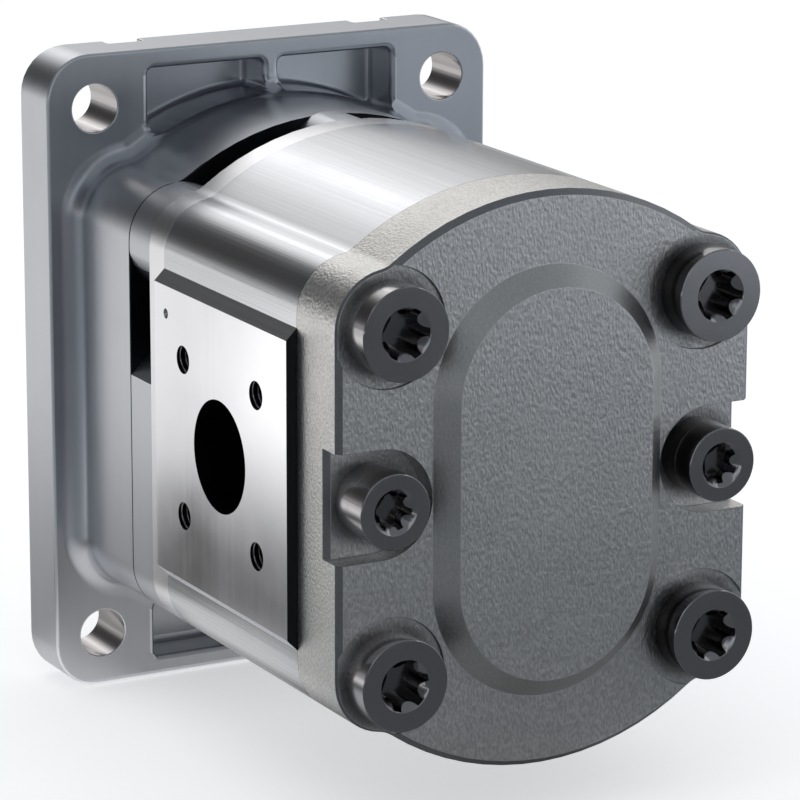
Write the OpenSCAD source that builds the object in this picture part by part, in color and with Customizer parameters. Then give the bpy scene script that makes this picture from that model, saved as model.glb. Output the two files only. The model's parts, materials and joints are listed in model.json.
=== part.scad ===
// External gear pump with an outboard bearing flange.
// Millimetres. X runs across the ports, Y along the drive shaft and Z up.
// The origin is the centre of the pilot, on the drive shaft's axis and in the mounting face.
// The pilot and the shaft end point to +Y, and the rear cover with its screws faces -Y.

/* [Stack] */
// Thickness of the flange plate
flange_thick = 12; // [10:0.5:16]
// Length of the bearing hub behind the flange plate
hub_len = 22.7; // [22:0.1:30]
// Thickness of the front cover
front_cover_thick = 14.5; // [13:0.5:18]
// Length of the gear housing
body_len = 51; // [46:0.5:70]
// Thickness of the rear cover
rear_cover_thick = 14.5; // [12:0.5:20]

/* [Outline] */
// Width over the flat sides of the covers and the gear housing
body_width = 80; // [78:0.5:90]
// Radius of the upper and lower arc of the outline
arc_radius = 50.1; // [49:0.1:54]
// Distance of the cover screws from the flat sides, which is also the radius round them
screw_inset = 9.8; // [9:0.1:10.5]
// How far the rounds at the corners stand out past the upper and lower arc
corner_reach = 2.27; // [1:0.01:4]
// Radius of the hollow blend between a corner and the arc
blend_radius = 5; // [4.5:0.5:7]
// How much smaller than the covers the hub's arcs are
hub_step = 0.5; // [0.2:0.1:1]
// Hollow fillet between the hub and the flange plate
hub_fillet = 4; // [1:0.1:4]

/* [Flange] */
// Width of the flange plate
flange_width = 91; // [88:0.5:100]
// Height of the flange plate
flange_height = 120; // [116:0.5:128]
// Corner radius of the flange plate
flange_corner = 8.5; // [5:0.5:12]
// Rounding of the flange plate's rear edge
flange_edge = 0.6; // [0.3:0.1:1.5]
// Distance of the flange holes from the plate's left and right edges, which sets them 72 apart
hole_inset_x = 9.5; // [8:0.1:12]
// Distance of the flange holes from the plate's upper and lower edges, which sets them 100 apart
hole_inset_z = 10; // [8:0.1:12]
// Diameter of the flange holes
flange_hole = 9; // [8:0.1:11]
// Pilot diameter
pilot_d = 80; // [70:0.5:82]
// Pilot height
pilot_len = 7; // [5:0.5:10]
// Chamfer on the pilot's edge
pilot_chamfer = 1; // [0.5:0.1:1.5]
// Depth of the four casting pockets in the flange plate
pocket_depth = 9; // [6:0.5:9.5]
// Wall between a pocket and the plate's upper or lower edge
pocket_wall = 3.7; // [3:0.1:6]
// Distance of a pocket from the plate's left or right edge
pocket_inset = 20.3; // [18:0.1:24]
// How far outside the hub's arc a pocket starts
pocket_step = 0.2; // [0.1:0.1:2]
// Rib between two pockets
pocket_rib = 3.1; // [2:0.1:6]
// Corner radius of the pockets
pocket_corner = 1.2; // [0.8:0.1:3]
// Distance of each locating slot from the plate's nearer side edge
slot_inset = 20; // [16:0.5:26]
// Width of the two locating slots in the upper edge
slot_width = 7; // [4:0.5:9]
// Depth of the locating slots
slot_depth = 3; // [1:0.1:3.5]

/* [Gears] */
// Distance between the two gear shafts
gear_span = 31; // [30.9:0.02:31.1]
// Number of teeth on each gear
teeth = 12; // [12:1:12]
// Module of the teeth
tooth_module = 2.5; // [2.48:0.01:2.5]
// Pressure angle of the tool that cut the teeth
pressure_angle = 20; // [18:0.5:22]
// Radius over the tooth tips
tip_radius = 18; // [17.8:0.05:18.1]
// Radius at the tooth roots
root_radius = 12.3; // [12:0.1:12.5]
// Free play between meshing teeth along the pitch circle
backlash = 0.14; // [0.08:0.02:0.3]
// Width of both gears
gear_len = 20.9; // [14:0.1:30]
// Play between a tooth tip and the chamber
tip_play = 0.08; // [0.04:0.01:0.1]
// Play between a gear's side and its bearing block
side_play = 0.05; // [0.03:0.01:0.1]
// Journal diameter of both gears
journal_d = 18; // [16:0.5:19]

/* [Bearings] */
// Outer diameter of the plain bearing bushes
bush_d = 20; // [19.5:0.1:22]
// Running play of a journal in its bush, on the radius
journal_play = 0.03; // [0.02:0.01:0.08]
// Play of a bearing block in the chamber, on the radius
block_play = 0.04; // [0.02:0.01:0.08]
// Bore of the outboard ball bearing
bearing_bore = 17; // [15:0.5:17.5]
// Outer diameter of the outboard ball bearing
bearing_od = 40; // [38:0.5:42]
// Width of the outboard ball bearing
bearing_width = 12; // [10:0.5:13]
// Diameter of the balls
ball_d = 6.7; // [6:0.1:7]
// Number of balls
ball_count = 8; // [6:1:9]
// Play between a ball and its races, on the radius
ball_play = 0.02; // [0.01:0.01:0.05]
// Play round the shaft behind the bearing's shoulder in the flange, on the radius
bearing_shoulder = 4.5; // [3:0.1:6]
// Distance of the ball bearing behind the mounting face
bearing_set = 14; // [12:0.5:16]

/* [Shaft end] */
// Length of the straight shaft in front of the mounting face
shaft_straight = 8; // [7.5:0.5:12]
// Length of the shaft's taper
taper_len = 19; // [15:0.5:24]
// Taper of the shaft, length for one unit of diameter
taper_ratio = 5; // [5:0.5:8]
// Thread diameter at the shaft's end
thread_d = 12; // [10:0.5:12]
// Length of the thread
thread_len = 13; // [12:0.5:18]
// Thickness of the shaft nut
nut_thick = 7; // [6:0.5:8]
// Width of the shaft nut across flats
nut_flats = 19; // [17:0.5:22]
// Thickness of the lock washer
washer_thick = 2.2; // [1.5:0.1:2.5]
// Thickness of the half-moon key
key_thick = 3; // [2:0.5:4]
// Diameter of the half-moon key
key_d = 13; // [10:0.5:13]
// Height of the half-moon key
key_height = 5; // [4:0.5:5.5]

/* [Seals] */
// Outer diameter of the two shaft seals
seal_od = 30; // [28:0.5:32]
// Width of the two shaft seals
seal_width = 7; // [5:0.5:8]
// Width of the ring seal between a cover and the gear housing
ring_width = 2; // [1.5:0.1:2.5]
// Depth of the groove for that ring seal
ring_depth = 1.6; // [1.2:0.1:2]
// Distance from the chamber to the ring seal's groove
ring_land = 2.4; // [2:0.1:3]
// How far the pressure seal's loop round one shaft reaches past the middle, into the other loop
field_join = 0.6; // [0.3:0.1:1]
// Width of the pressure seal on a bearing block
field_width = 2.4; // [1.8:0.1:2.6]
// Depth of the groove for the pressure seal
field_depth = 2.6; // [2:0.1:3]

/* [Screws] */
// Diameter of the cover screws
screw_d = 10; // [8:0.5:10.5]
// Head diameter of the cover screws
screw_head_d = 16; // [14:0.5:17]
// Head height of the cover screws
screw_head_h = 6.2; // [5:0.1:7]
// Length of the cover screws under the head
screw_len = 95; // [93:1:98]
// Size of the cover screws' star socket across its points
star_size = 8.95; // [7:0.05:9]
// Diameter of the countersink over that socket
star_mouth = 9.2; // [9:0.1:10]
// Diameter of the machined seat under a cover screw
seat_d = 20.8; // [18:0.1:21]
// Depth of that seat
seat_depth = 0.6; // [0.2:0.1:0.8]
// Diameter of the two centre screws
centre_screw_d = 8; // [6:0.5:8.5]
// Distance of the two centre screws from the flat sides
centre_inset = 8.3; // [8:0.1:9]
// Head diameter of the centre screws
centre_head_d = 13; // [12:0.5:14]
// Head height of the centre screws
centre_head_h = 4.8; // [4:0.1:6]
// Length of the centre screws under the head
centre_len = 25; // [22:1:28]
// Size of the centre screws' star socket across its points
centre_star = 6.75; // [5:0.05:7]
// Diameter of the countersink over that socket
centre_mouth = 8; // [7.5:0.1:8.5]
// Thickness of the spacer under a centre screw
spacer_thick = 4.4; // [3:0.1:6]
// Depth of the two side notches in the rear cover
notch_depth = 4.4; // [3:0.1:6]
// Radius of the side notches' round end
notch_radius = 9.5; // [8:0.1:10]
// Play around a screw in a threaded or through hole, on the radius
screw_play = 0.05; // [0.03:0.01:0.1]
// Through hole over the screw's diameter
through_extra = 1; // [0.5:0.1:1.5]
// Diameter of the dowel pins
dowel_d = 6; // [5:0.5:6]
// Distance of the dowels from the flat sides
dowel_inset = 9; // [8:0.5:10]
// Distance between the dowels up the pump
dowel_pitch_z = 29; // [28:0.5:30]

/* [Rear cover] */
// Chamfer round the rear cover's face
cover_chamfer = 1; // [0.5:0.1:1.5]
// Height of the raised middle of the rear cover
plateau_h = 3.3; // [2:0.1:5]
// Radius of the raised middle's foot
plateau_radius = 22.1; // [21:0.1:23]
// Width of the slope round the raised middle
plateau_slope = 3.5; // [2:0.1:4]

/* [Front cover] */
// Depth of the recess round the front cover's neck
neck_depth = 8.4; // [7:0.1:9]
// Radius of the neck round the shaft
neck_radius = 24; // [20:0.5:26]
// Radius of the neck's top boss
crown_radius = 8; // [6:0.5:10]

/* [Ports] */
// How far the port faces stand out from the sides
pad_rise = 2; // [1:0.1:4]
// Distance of a port face's upper and lower edges from the height of the cover screws
pad_margin = 4; // [2:0.5:8]
// Inlet port diameter
inlet_d = 20; // [12:0.5:20]
// Bolt circle of the inlet port
inlet_circle = 40; // [38:0.5:42]
// Outlet port diameter
outlet_d = 15; // [10:0.5:18]
// Bolt circle of the outlet port
outlet_circle = 35; // [34:0.5:40]
// Thread diameter of the port screws
port_thread = 6; // [5:0.5:6]
// Depth of the port screw holes
port_thread_depth = 13; // [10:0.5:14]
// How much narrower than its bore a port is where it opens to the gears, on the radius
throat_step = 1.5; // [1:0.1:3]
// Metal left between the end of a port's bore and the circle of the gear chamber
throat_gap = 0.9; // [0.5:0.1:3]
// Diameter of the drilled centre mark on the inlet face
mark_d = 1.8; // [1:0.1:2]
// Depth of the mark
mark_depth = 0.6; // [0.3:0.1:1]
// Distance of the mark from the housing's front end
mark_back = 4.6; // [3:0.1:6]
// Height of the mark above the pump's middle
mark_up = 21; // [16:0.5:23]

/* [Hidden] */
// A hair's breadth, for overlaps between joined forms
SMALL = 0.01;
// Angle steps on the outline's arcs, and on the hub's fillet
ARC_STEPS = 8;
FILLET_STEPS = 4;
// How far the front cover's posts reach past the outline, so that the outline trims them
POST_EXTRA = 0.15;
// Degrees in a radian
DEG = 180 / PI;

half_w = body_width / 2;
mid_z = -gear_span / 2;
corner_radius = screw_inset;
bolt_x = half_w - screw_inset;
bolt_z = sqrt(pow(arc_radius + corner_reach - corner_radius, 2) - bolt_x * bolt_x);
centre_x = half_w - centre_inset;
screw_hole = (screw_d + through_extra) / 2;
centre_hole = (centre_screw_d + through_extra) / 2;
centre_thread = centre_screw_d / 2 + screw_play;
port_x = half_w + pad_rise;
pad_half = bolt_z - pad_margin;

// Places along the shaft, from the mounting face at zero to the rear
y_flange = -flange_thick;
y_hub = y_flange - hub_len;
y_front = y_hub - front_cover_thick;
y_rear = y_front - body_len;
y_face = y_rear - rear_cover_thick;
y_plateau = y_face - plateau_h;
y_neck = y_hub - neck_depth;
y_middle = (y_front + y_rear) / 2;
y_notch = y_face + notch_depth;
y_seat = y_face + seat_depth;

// Screws: where they end, and the flat edge that their heads and tips get
y_screw_tip = y_seat + screw_len;
y_centre_seat = y_notch - spacer_thick;
y_centre_tip = y_centre_seat + centre_len;
tip_chamfer = 1;
head_chamfer = 0.15;
drill_extra = 2;
star_depth = 4.5;
centre_star_depth = 3.6;
// Shares of a star's size: the radius to the rounds between its points, and their own radius
STAR_INNER = 0.36;
STAR_ROUND = 0.2;
// How far each cover screw and centre screw was turned when it came tight
SCREW_TURNS = [0, 4, -12, 2];
CENTRE_TURNS = [8, 27];

// Dowels: how deep they sit in a cover and in the gear housing
dowel_x = half_w - dowel_inset;
dowel_z = dowel_pitch_z / 2;
dowel_cover = 5;
dowel_body = 6;
dowel_gap = 0.3;
dowel_chamfer = 0.5;

// Gears: pitch circle, base circle and the half angle of a tooth at its base
rolling_radius = gear_span / 2;
base_radius = teeth * tooth_module * cos(pressure_angle) / 2;
rolling_angle = acos(base_radius / rolling_radius);
function involute(angle) = tan(angle) * DEG - angle;
half_pitch_angle = 90 / teeth - backlash / rolling_radius * DEG / 4;
base_half_angle = half_pitch_angle + involute(rolling_angle);
FLANK_STEPS = 5;
root_fillet = 0.5;
root_spread = 1.6;

// Gear chamber, journals and the relief pockets of the bearing blocks
chamber_radius = tip_radius + tip_play;
throat_x = chamber_radius + throat_gap;
block_len = (body_len - gear_len) / 2 - side_play;
journal_radius = journal_d / 2;
journal_len = block_len - 0.6;
journal_chamfer = 0.5;
shaft_bore = journal_radius + 0.3;
y_gear_front = y_middle + gear_len / 2;
y_gear_rear = y_middle - gear_len / 2;
relief_x = 5.2;
relief_w = 4;
relief_h = 5;
relief_depth = 1.2;
seal_play = 0.05;
seal_case = 1.4;
lip_rise = 1.2;
lip_thick = 1;
seal_squeeze = 0.1;

// Outboard bearing
y_bearing_front = -bearing_set;
y_bearing_rear = y_bearing_front - bearing_width;
y_balls = (y_bearing_front + y_bearing_rear) / 2;
shaft_radius = bearing_bore / 2;
pitch_radius = (bearing_bore + bearing_od) / 4;
race_wall = 3;
cage_wall = 0.9;
cage_play = 0.1;
clip_thick = 1.75;
clip_depth = 1.5;
clip_width = 3.6;
clip_gap = 8;
clip_play = 0.1;
shoulder_bore = shaft_radius + bearing_shoulder;
y_outer_seal = pilot_len - pilot_chamfer - seal_width;

// Shaft end
y_taper = shaft_straight;
y_thread = y_taper + taper_len;
y_shaft_end = y_thread + thread_len;
taper_end_radius = (bearing_bore - taper_len / taper_ratio) / 2;
y_key = y_taper + taper_len / 2;
key_sink = 3.7;
key_z = (shaft_radius + taper_end_radius) / 2 - key_sink;
washer_rim = 4;
washer_play = 0.2;
washer_slot = 1.2;
nut_corner = 0.6;

// Helpers

// Extrudes a drawing of X and Z between two places on the Y axis, the rear one first
module between(rear, front) {
    translate([0, front, 0]) rotate([90, 0, 0]) linear_extrude(front - rear) children();
}

// A round bar along Y, or a cone with a second radius at its front
module bar(x, z, r, rear, front, r_front = undef, fn = 64) {
    r2 = is_undef(r_front) ? r : r_front;
    translate([x, rear, z]) rotate([-90, 0, 0]) cylinder(h = front - rear, r1 = r, r2 = r2, $fn = fn);
}

// Puts a copy of its child at each corner of a rectangle about the pump's middle
module corners(x, z) {
    for (sx = [-1, 1], sz = [-1, 1]) translate([sx * x, 0, mid_z + sz * z]) children();
}

// Points of an arc, both ends counted
function arc(c, r, a0, a1, n) = [
    for (i = [0:n]) let (a = a0 + (a1 - a0) * i / n) c + r * [cos(a), sin(a)]
];

// Centre of the hollow blend, which touches a corner boss and the main arc
function blend_centre(main, boss) =
    let (
        far = main + blend_radius,
        near = boss + blend_radius,
        d = norm([bolt_x, bolt_z]),
        along = (far * far - near * near + d * d) / (2 * d),
        aside = sqrt(far * far - along * along),
        u = [bolt_x, bolt_z] / d
    )
    along * u + aside * [-u[1], u[0]];

// One quarter of the outline about the pump's middle, moved in by a given amount
function quarter(main, inset) =
    let (
        c = blend_centre(main, corner_radius),
        b = c - [bolt_x, bolt_z],
        a_boss = atan2(b[1], b[0]),
        a_main = atan2(c[1], c[0])
    )
    concat(
        arc([bolt_x, bolt_z], corner_radius - inset, 0, a_boss, ARC_STEPS + 2),
        arc(c, blend_radius + inset, a_boss + 180, a_main + 180, 3),
        arc([0, 0], main - inset, a_main, 90, ARC_STEPS)
    );

function reversed(list) = [for (i = [len(list) - 1:-1:0]) list[i]];
function mirrored(list, sx, sz) = [for (p = list) [sx * p[0], sz * p[1]]];
function without_last(list) = [for (i = [0:len(list) - 2]) list[i]];

// The whole outline of the covers and the gear housing, placed at the pump's middle
function outline(inset = 0, step = 0) =
    let (
        q1 = without_last(quarter(arc_radius - step, inset)),
        q2 = mirrored(reversed(quarter(arc_radius - step, inset)), -1, 1),
        all = concat(q1, q2, mirrored(q1, -1, -1), mirrored(q2, -1, -1))
    )
    [for (p = all) p + [0, mid_z]];

// A rectangle with round corners, placed at the pump's middle
function plate(w, h, r, inset) =
    let (q = arc([w / 2 - r, h / 2 - r], r - inset, 0, 90, ARC_STEPS))
    [for (p = concat(
        q, mirrored(reversed(q), -1, 1), mirrored(q, -1, -1), mirrored(reversed(q), 1, -1)
    )) p + [0, mid_z]];

// A closed skin through outlines of equal point counts; each ring is a place on Y and its points
module loft(rings) {
    n = len(rings[0][1]);
    last = (len(rings) - 1) * n;
    polyhedron(
        points = [for (ring = rings, p = ring[1]) [p[0], ring[0], p[1]]],
        faces = concat(
            [[for (i = [0:n - 1]) i]],
            [[for (i = [n - 1:-1:0]) last + i]],
            [for (k = [0:len(rings) - 2], i = [0:n - 1])
                let (j = (i + 1) % n) [k * n + j, k * n + i, (k + 1) * n + i, (k + 1) * n + j]]
        ),
        convexity = 6
    );
}

// Two discs joined by their common tangents, one about each gear shaft
module stadium(r) {
    circle(r = r, $fn = 96);
    translate([0, -gear_span]) circle(r = r, $fn = 96);
    translate([-r, -gear_span]) square([2 * r, gear_span]);
}

// Two overlapping discs, one about each gear shaft
module eight(r) {
    circle(r = r, $fn = 96);
    translate([0, -gear_span]) circle(r = r, $fn = 96);
}

// Mounting flange

module pocket_shape(side) {
    pocket_reach = flange_width / 2 - pocket_inset;
    offset(r = pocket_corner, $fn = 24) offset(delta = -pocket_corner)
        difference() {
            mirror([side > 0 ? 0 : 1, 0])
                translate([pocket_rib / 2, 0])
                    square([pocket_reach - pocket_rib / 2, flange_height / 2 - pocket_wall]);
            circle(r = arc_radius + pocket_step, $fn = 120);
        }
}

// The hub with its hollow fillet, from inside the plate to the hub's end
module hub_solid() {
    step = 90 / FILLET_STEPS;
    fillet = [
        for (k = [0:FILLET_STEPS]) let (
            back = hub_fillet * (1 - cos(k * step)),
            grown = hub_fillet * (1 - sin(k * step))
        ) [y_flange + SMALL - back, outline(-grown, hub_step)]
    ];
    inside = [[y_flange + 1, outline(-hub_fillet, hub_step)]];
    loft(concat(inside, fillet, [[y_hub, outline(0, hub_step)]]));
}

module flange_solid() {
    part_edge = flange_edge * 0.3;
    pilot_radius = pilot_d / 2;
    pilot_edge = pilot_len - pilot_chamfer;
    loft([
        [0, plate(flange_width, flange_height, flange_corner, 0)],
        [y_flange + flange_edge, plate(flange_width, flange_height, flange_corner, 0)],
        [y_flange + part_edge, plate(flange_width, flange_height, flange_corner, part_edge)],
        [y_flange, plate(flange_width, flange_height, flange_corner, flange_edge)]
    ]);
    hub_solid();
    bar(0, 0, pilot_radius, -1, pilot_edge, fn = 128);
    bar(0, 0, pilot_radius, pilot_edge - SMALL, pilot_len, pilot_radius - pilot_chamfer, fn = 128);
}

module mounting_flange() {
    hole_x = flange_width / 2 - hole_inset_x;
    hole_z = flange_height / 2 - hole_inset_z;
    slot_x = flange_width / 2 - slot_inset;
    slot_z = mid_z + flange_height / 2 - slot_depth;
    clip_radius = bearing_od / 2 + clip_depth;
    color("#4d565f") difference() {
        flange_solid();
        corners(hole_x, hole_z)
            bar(0, 0, flange_hole / 2, y_flange - 1, 1, fn = 48);
        translate([0, 0, mid_z]) for (side = [-1, 1], up = [0, 1]) mirror([0, 0, up])
            between(y_flange - hub_fillet - 1, y_flange + pocket_depth) pocket_shape(side);
        for (side = [-1, 1])
            translate([side * slot_x - slot_width / 2, -slot_depth, slot_z])
                cube([slot_width, slot_depth + 1, slot_depth + 1]);
        corners(bolt_x, bolt_z)
            bar(0, 0, screw_d / 2 + screw_play, y_hub - 1, y_screw_tip + drill_extra, fn = 48);
        bar(0, 0, bearing_od / 2 + screw_play, y_hub - 1, y_bearing_front, fn = 96);
        bar(0, 0, clip_radius, y_bearing_rear - clip_thick - clip_play, y_bearing_rear, fn = 96);
        bar(0, 0, shoulder_bore, y_bearing_front - 1, pilot_len, fn = 64);
        bar(0, 0, seal_od / 2 + screw_play, y_outer_seal, pilot_len + 1, fn = 64);
    }
}

// Front cover

// What is cut away round the neck: all but the shaft's boss, the screws' bosses and the crown
module recess_shape() {
    post = corner_radius + POST_EXTRA;
    difference() {
        translate([-half_w - 1, mid_z]) square([body_width + 2, arc_radius + 1]);
        circle(r = neck_radius, $fn = 96);
        for (side = [-1, 1]) {
            translate([side * bolt_x, mid_z + bolt_z]) circle(r = post, $fn = 64);
            translate([side * centre_x, mid_z]) circle(r = post, $fn = 64);
        }
        translate([0, mid_z + arc_radius - crown_radius + POST_EXTRA]) circle(r = crown_radius, $fn = 64);
    }
}

module front_cover() {
    color("#7d858d") difference() {
        between(y_front, y_hub) polygon(outline());
        between(y_neck, y_hub + 1) recess_shape();
        corners(bolt_x, bolt_z)
            bar(0, 0, screw_hole, y_front - 1, y_hub + 1, fn = 48);
        bar(0, 0, seal_od / 2 + screw_play, y_hub - seal_width, y_hub + 1, fn = 64);
        bar(0, 0, shaft_bore, y_front - 1, y_hub + 1, fn = 64);
        for (k = [0, 1]) dowel_at(k)
            bar(0, 0, dowel_d / 2 + screw_play, y_front - 1, y_front + dowel_cover, fn = 32);
    }
}

// Gear housing

module body_profile() {
    slope = pad_half + pad_rise + 1;
    inner = half_w - 1;
    polygon(outline());
    translate([0, mid_z]) polygon([
        [port_x, -pad_half], [port_x, pad_half], [inner, slope], [-inner, slope],
        [-port_x, pad_half], [-port_x, -pad_half], [-inner, -slope], [inner, -slope]
    ]);
}

// A port on one side: its bore, the throat to the gears, and four threaded holes on a square
module port_cut(side, d, circle_d) {
    square_half = circle_d / 2 * cos(45);
    translate([0, y_middle, mid_z]) rotate([0, side * 90, 0]) {
        cylinder(h = port_x, r = d / 2 - throat_step, $fn = 64);
        translate([0, 0, throat_x]) cylinder(h = port_x, r = d / 2, $fn = 64);
        for (a = [-1, 1], b = [-1, 1])
            translate([a * square_half, b * square_half, port_x - port_thread_depth])
                cylinder(h = port_thread_depth + 1, r = port_thread / 2, $fn = 32);
    }
}

module pump_body() {
    color("#c9ccd1") difference() {
        between(y_rear, y_front) body_profile();
        between(y_rear - 1, y_front + 1) eight(chamber_radius);
        corners(bolt_x, bolt_z)
            bar(0, 0, screw_hole, y_rear - 1, y_front + 1, fn = 48);
        for (side = [-1, 1])
            bar(side * centre_x, mid_z, centre_thread, y_rear - 1, y_centre_tip + 1, fn = 48);
        port_cut(-1, inlet_d, inlet_circle);
        port_cut(1, outlet_d, outlet_circle);
        between(y_front - ring_depth, y_front + 1) ring_shape(0);
        between(y_rear - 1, y_rear + ring_depth) ring_shape(0);
        for (k = [0, 1]) dowel_at(k) {
            bar(0, 0, dowel_d / 2 + screw_play, y_front - dowel_body, y_front + 1, fn = 32);
            bar(0, 0, dowel_d / 2 + screw_play, y_rear - 1, y_rear + dowel_body, fn = 32);
        }
        translate([-port_x - 1, y_front - mark_back, mid_z + mark_up])
            rotate([0, 90, 0]) cylinder(h = 1 + mark_depth, r = mark_d / 2, $fn = 24);
    }
}

// Rear cover

// A notch's cut seen from above, from its round end out past the side, with the floor's chamfer
module notch_side(side) {
    polygon([for (p = [
        [centre_x, y_face - 1], [half_w + 1, y_face - 1], [half_w + 1, y_notch + cover_chamfer + 1],
        [half_w - cover_chamfer, y_notch], [centre_x, y_notch]
    ]) [side * p[0], p[1]]]);
}

module rear_cover() {
    top = plateau_radius - plateau_slope;
    color("#6e7174") difference() {
        union() {
            loft([
                [y_rear, outline(0)],
                [y_face + cover_chamfer, outline(0)],
                [y_face, outline(cover_chamfer)]
            ]);
            bar(0, 0, top, y_plateau, y_face + SMALL, plateau_radius, fn = 96);
            bar(0, -gear_span, top, y_plateau, y_face + SMALL, plateau_radius, fn = 96);
            translate([0, 0, -gear_span]) linear_extrude(gear_span) polygon([
                [top, y_plateau], [plateau_radius, y_face + SMALL], [-plateau_radius, y_face + SMALL],
                [-top, y_plateau]
            ]);
        }
        corners(bolt_x, bolt_z) {
            bar(0, 0, screw_hole, y_face - 1, y_rear + 1, fn = 48);
            bar(0, 0, seat_d / 2, y_face - 1, y_seat, fn = 96);
        }
        for (side = [-1, 1]) {
            bar(side * centre_x, mid_z, centre_hole, y_face, y_rear + 1, fn = 48);
            bar(side * centre_x, mid_z, notch_radius, y_face - 1, y_notch, fn = 96);
            translate([0, 0, mid_z - notch_radius]) linear_extrude(2 * notch_radius) notch_side(side);
        }
        for (k = [0, 1]) dowel_at(k)
            bar(0, 0, dowel_d / 2 + screw_play, y_rear - dowel_cover, y_rear + 1, fn = 32);
    }
}

// Screws, spacers and dowels

// A star with six points, which fits the driver
module star(size) {
    round_r = size * STAR_ROUND;
    difference() {
        circle(r = size / 2, $fn = 48);
        for (a = [0:60:300]) rotate(a + 30) translate([size * STAR_INNER + round_r, 0])
            circle(r = round_r, $fn = 24);
    }
}

// A flat-headed screw whose head sits at a given place, pointing to +Y, with a countersunk star socket
module star_screw(d, head_d, head_h, length, size, mouth, seat, sink) {
    tip = seat + length;
    face = seat - head_h;
    cone_end = size * STAR_INNER - 0.1;
    difference() {
        union() {
            bar(0, 0, d / 2, seat, tip - tip_chamfer, fn = 48);
            bar(0, 0, d / 2, tip - tip_chamfer, tip, d / 2 - tip_chamfer, fn = 48);
            bar(0, 0, head_d / 2, face + head_chamfer, seat, fn = 64);
            bar(0, 0, head_d / 2 - head_chamfer, face, face + head_chamfer, head_d / 2, fn = 64);
        }
        between(face - 1, face + sink) star(size);
        bar(0, 0, mouth / 2 + 1, face - 1, face + mouth / 2 - cone_end, cone_end, fn = 48);
    }
}

module cover_screw(number) {
    sx = number % 2 == 1 ? -1 : 1;
    sz = number <= 2 ? 1 : -1;
    color("#3c3e42") translate([sx * bolt_x, 0, mid_z + sz * bolt_z])
        rotate([0, SCREW_TURNS[number - 1], 0])
            star_screw(
                screw_d, screw_head_d, screw_head_h, screw_len, star_size, star_mouth, y_seat, star_depth
            );
}

module centre_screw(side) {
    color("#3c3e42") translate([side * centre_x, 0, mid_z])
        rotate([0, CENTRE_TURNS[side < 0 ? 0 : 1], 0])
            star_screw(
                centre_screw_d, centre_head_d, centre_head_h, centre_len, centre_star, centre_mouth,
                y_centre_seat, centre_star_depth
            );
}

module spacer(side) {
    color("#45474b") difference() {
        bar(side * centre_x, mid_z, centre_head_d / 2, y_centre_seat, y_notch, fn = 64);
        bar(side * centre_x, mid_z, centre_hole, y_centre_seat - 1, y_notch + 1, fn = 48);
    }
}

// The two dowels of a joint lie on a diagonal
module dowel_at(k) {
    s = k == 0 ? -1 : 1;
    translate([s * dowel_x, 0, mid_z - s * dowel_z]) children();
}

// A dowel across the joint at a given place; towards is 1 where the cover is in front of it
module dowel(k, joint, towards) {
    rear = joint - (towards > 0 ? dowel_body : dowel_cover) + dowel_gap;
    front = joint + (towards > 0 ? dowel_cover : dowel_body) - dowel_gap;
    small_r = dowel_d / 2 - dowel_chamfer;
    color("#b8bbc0") dowel_at(k) {
        bar(0, 0, small_r, rear, rear + dowel_chamfer, dowel_d / 2, fn = 32);
        bar(0, 0, dowel_d / 2, rear + dowel_chamfer, front - dowel_chamfer, fn = 32);
        bar(0, 0, dowel_d / 2, front - dowel_chamfer, front, small_r, fn = 32);
    }
}

// Gears

// Angle of a tooth's flank at a radius, measured from the tooth's middle
function flank_angle(r) = base_half_angle - involute(acos(min(1, base_radius / r)));
function polar(r, a) = [r * cos(a), r * sin(a)];

// One flank from the root, through its small root fillet, to the tip
function flank() = concat(
    [polar(root_radius, base_half_angle + root_spread)],
    [polar(root_radius + root_fillet, base_half_angle + root_spread / 4)],
    [for (i = [0:FLANK_STEPS]) let (r = base_radius + (tip_radius - base_radius) * i / FLANK_STEPS)
        polar(r, flank_angle(r))]
);

// One tooth about the X axis, drawn from its lower to its upper root
function tooth() = concat(mirrored(flank(), 1, -1), [polar(tip_radius, 0)], reversed(flank()));

function turned(list, a) = [
    for (p = list) [p[0] * cos(a) - p[1] * sin(a), p[0] * sin(a) + p[1] * cos(a)]
];

module gear_shape(phase) {
    polygon([for (k = [0:teeth - 1], p = turned(tooth(), phase + k * 360 / teeth)) p]);
}

// A gear and its rear journal, which ends just short of the bearing block's outer face
module gear_body(phase) {
    end = y_gear_rear - journal_len;
    between(y_gear_rear, y_gear_front) gear_shape(phase);
    bar(0, 0, journal_radius - journal_chamfer, end, end + journal_chamfer, journal_radius, fn = 64);
    bar(0, 0, journal_radius, end + journal_chamfer, y_gear_rear + SMALL, fn = 64);
}

module drive_gear_shaft() {
    tip = thread_d / 2 - tip_chamfer;
    color("#a6a9ad") difference() {
        union() {
            gear_body(-90);
            bar(0, 0, journal_radius, y_gear_front - SMALL, y_bearing_rear, fn = 64);
            bar(0, 0, shaft_radius, y_bearing_rear - SMALL, y_taper, fn = 64);
            bar(0, 0, shaft_radius, y_taper, y_thread, taper_end_radius, fn = 64);
            bar(0, 0, thread_d / 2, y_thread - SMALL, y_shaft_end - tip_chamfer, fn = 48);
            bar(0, 0, thread_d / 2, y_shaft_end - tip_chamfer - SMALL, y_shaft_end, tip, fn = 48);
        }
        translate([0, 0, key_z]) key_shape(screw_play);
    }
}

module driven_gear() {
    end = y_gear_front + journal_len;
    color("#a6a9ad") translate([0, 0, -gear_span]) {
        gear_body(90 + 180 / teeth);
        bar(0, 0, journal_radius, y_gear_front - SMALL, end - journal_chamfer, fn = 64);
        bar(0, 0, journal_radius, end - journal_chamfer, end, journal_radius - journal_chamfer, fn = 64);
    }
}

// Bearing blocks, bushes and pressure seals

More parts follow.
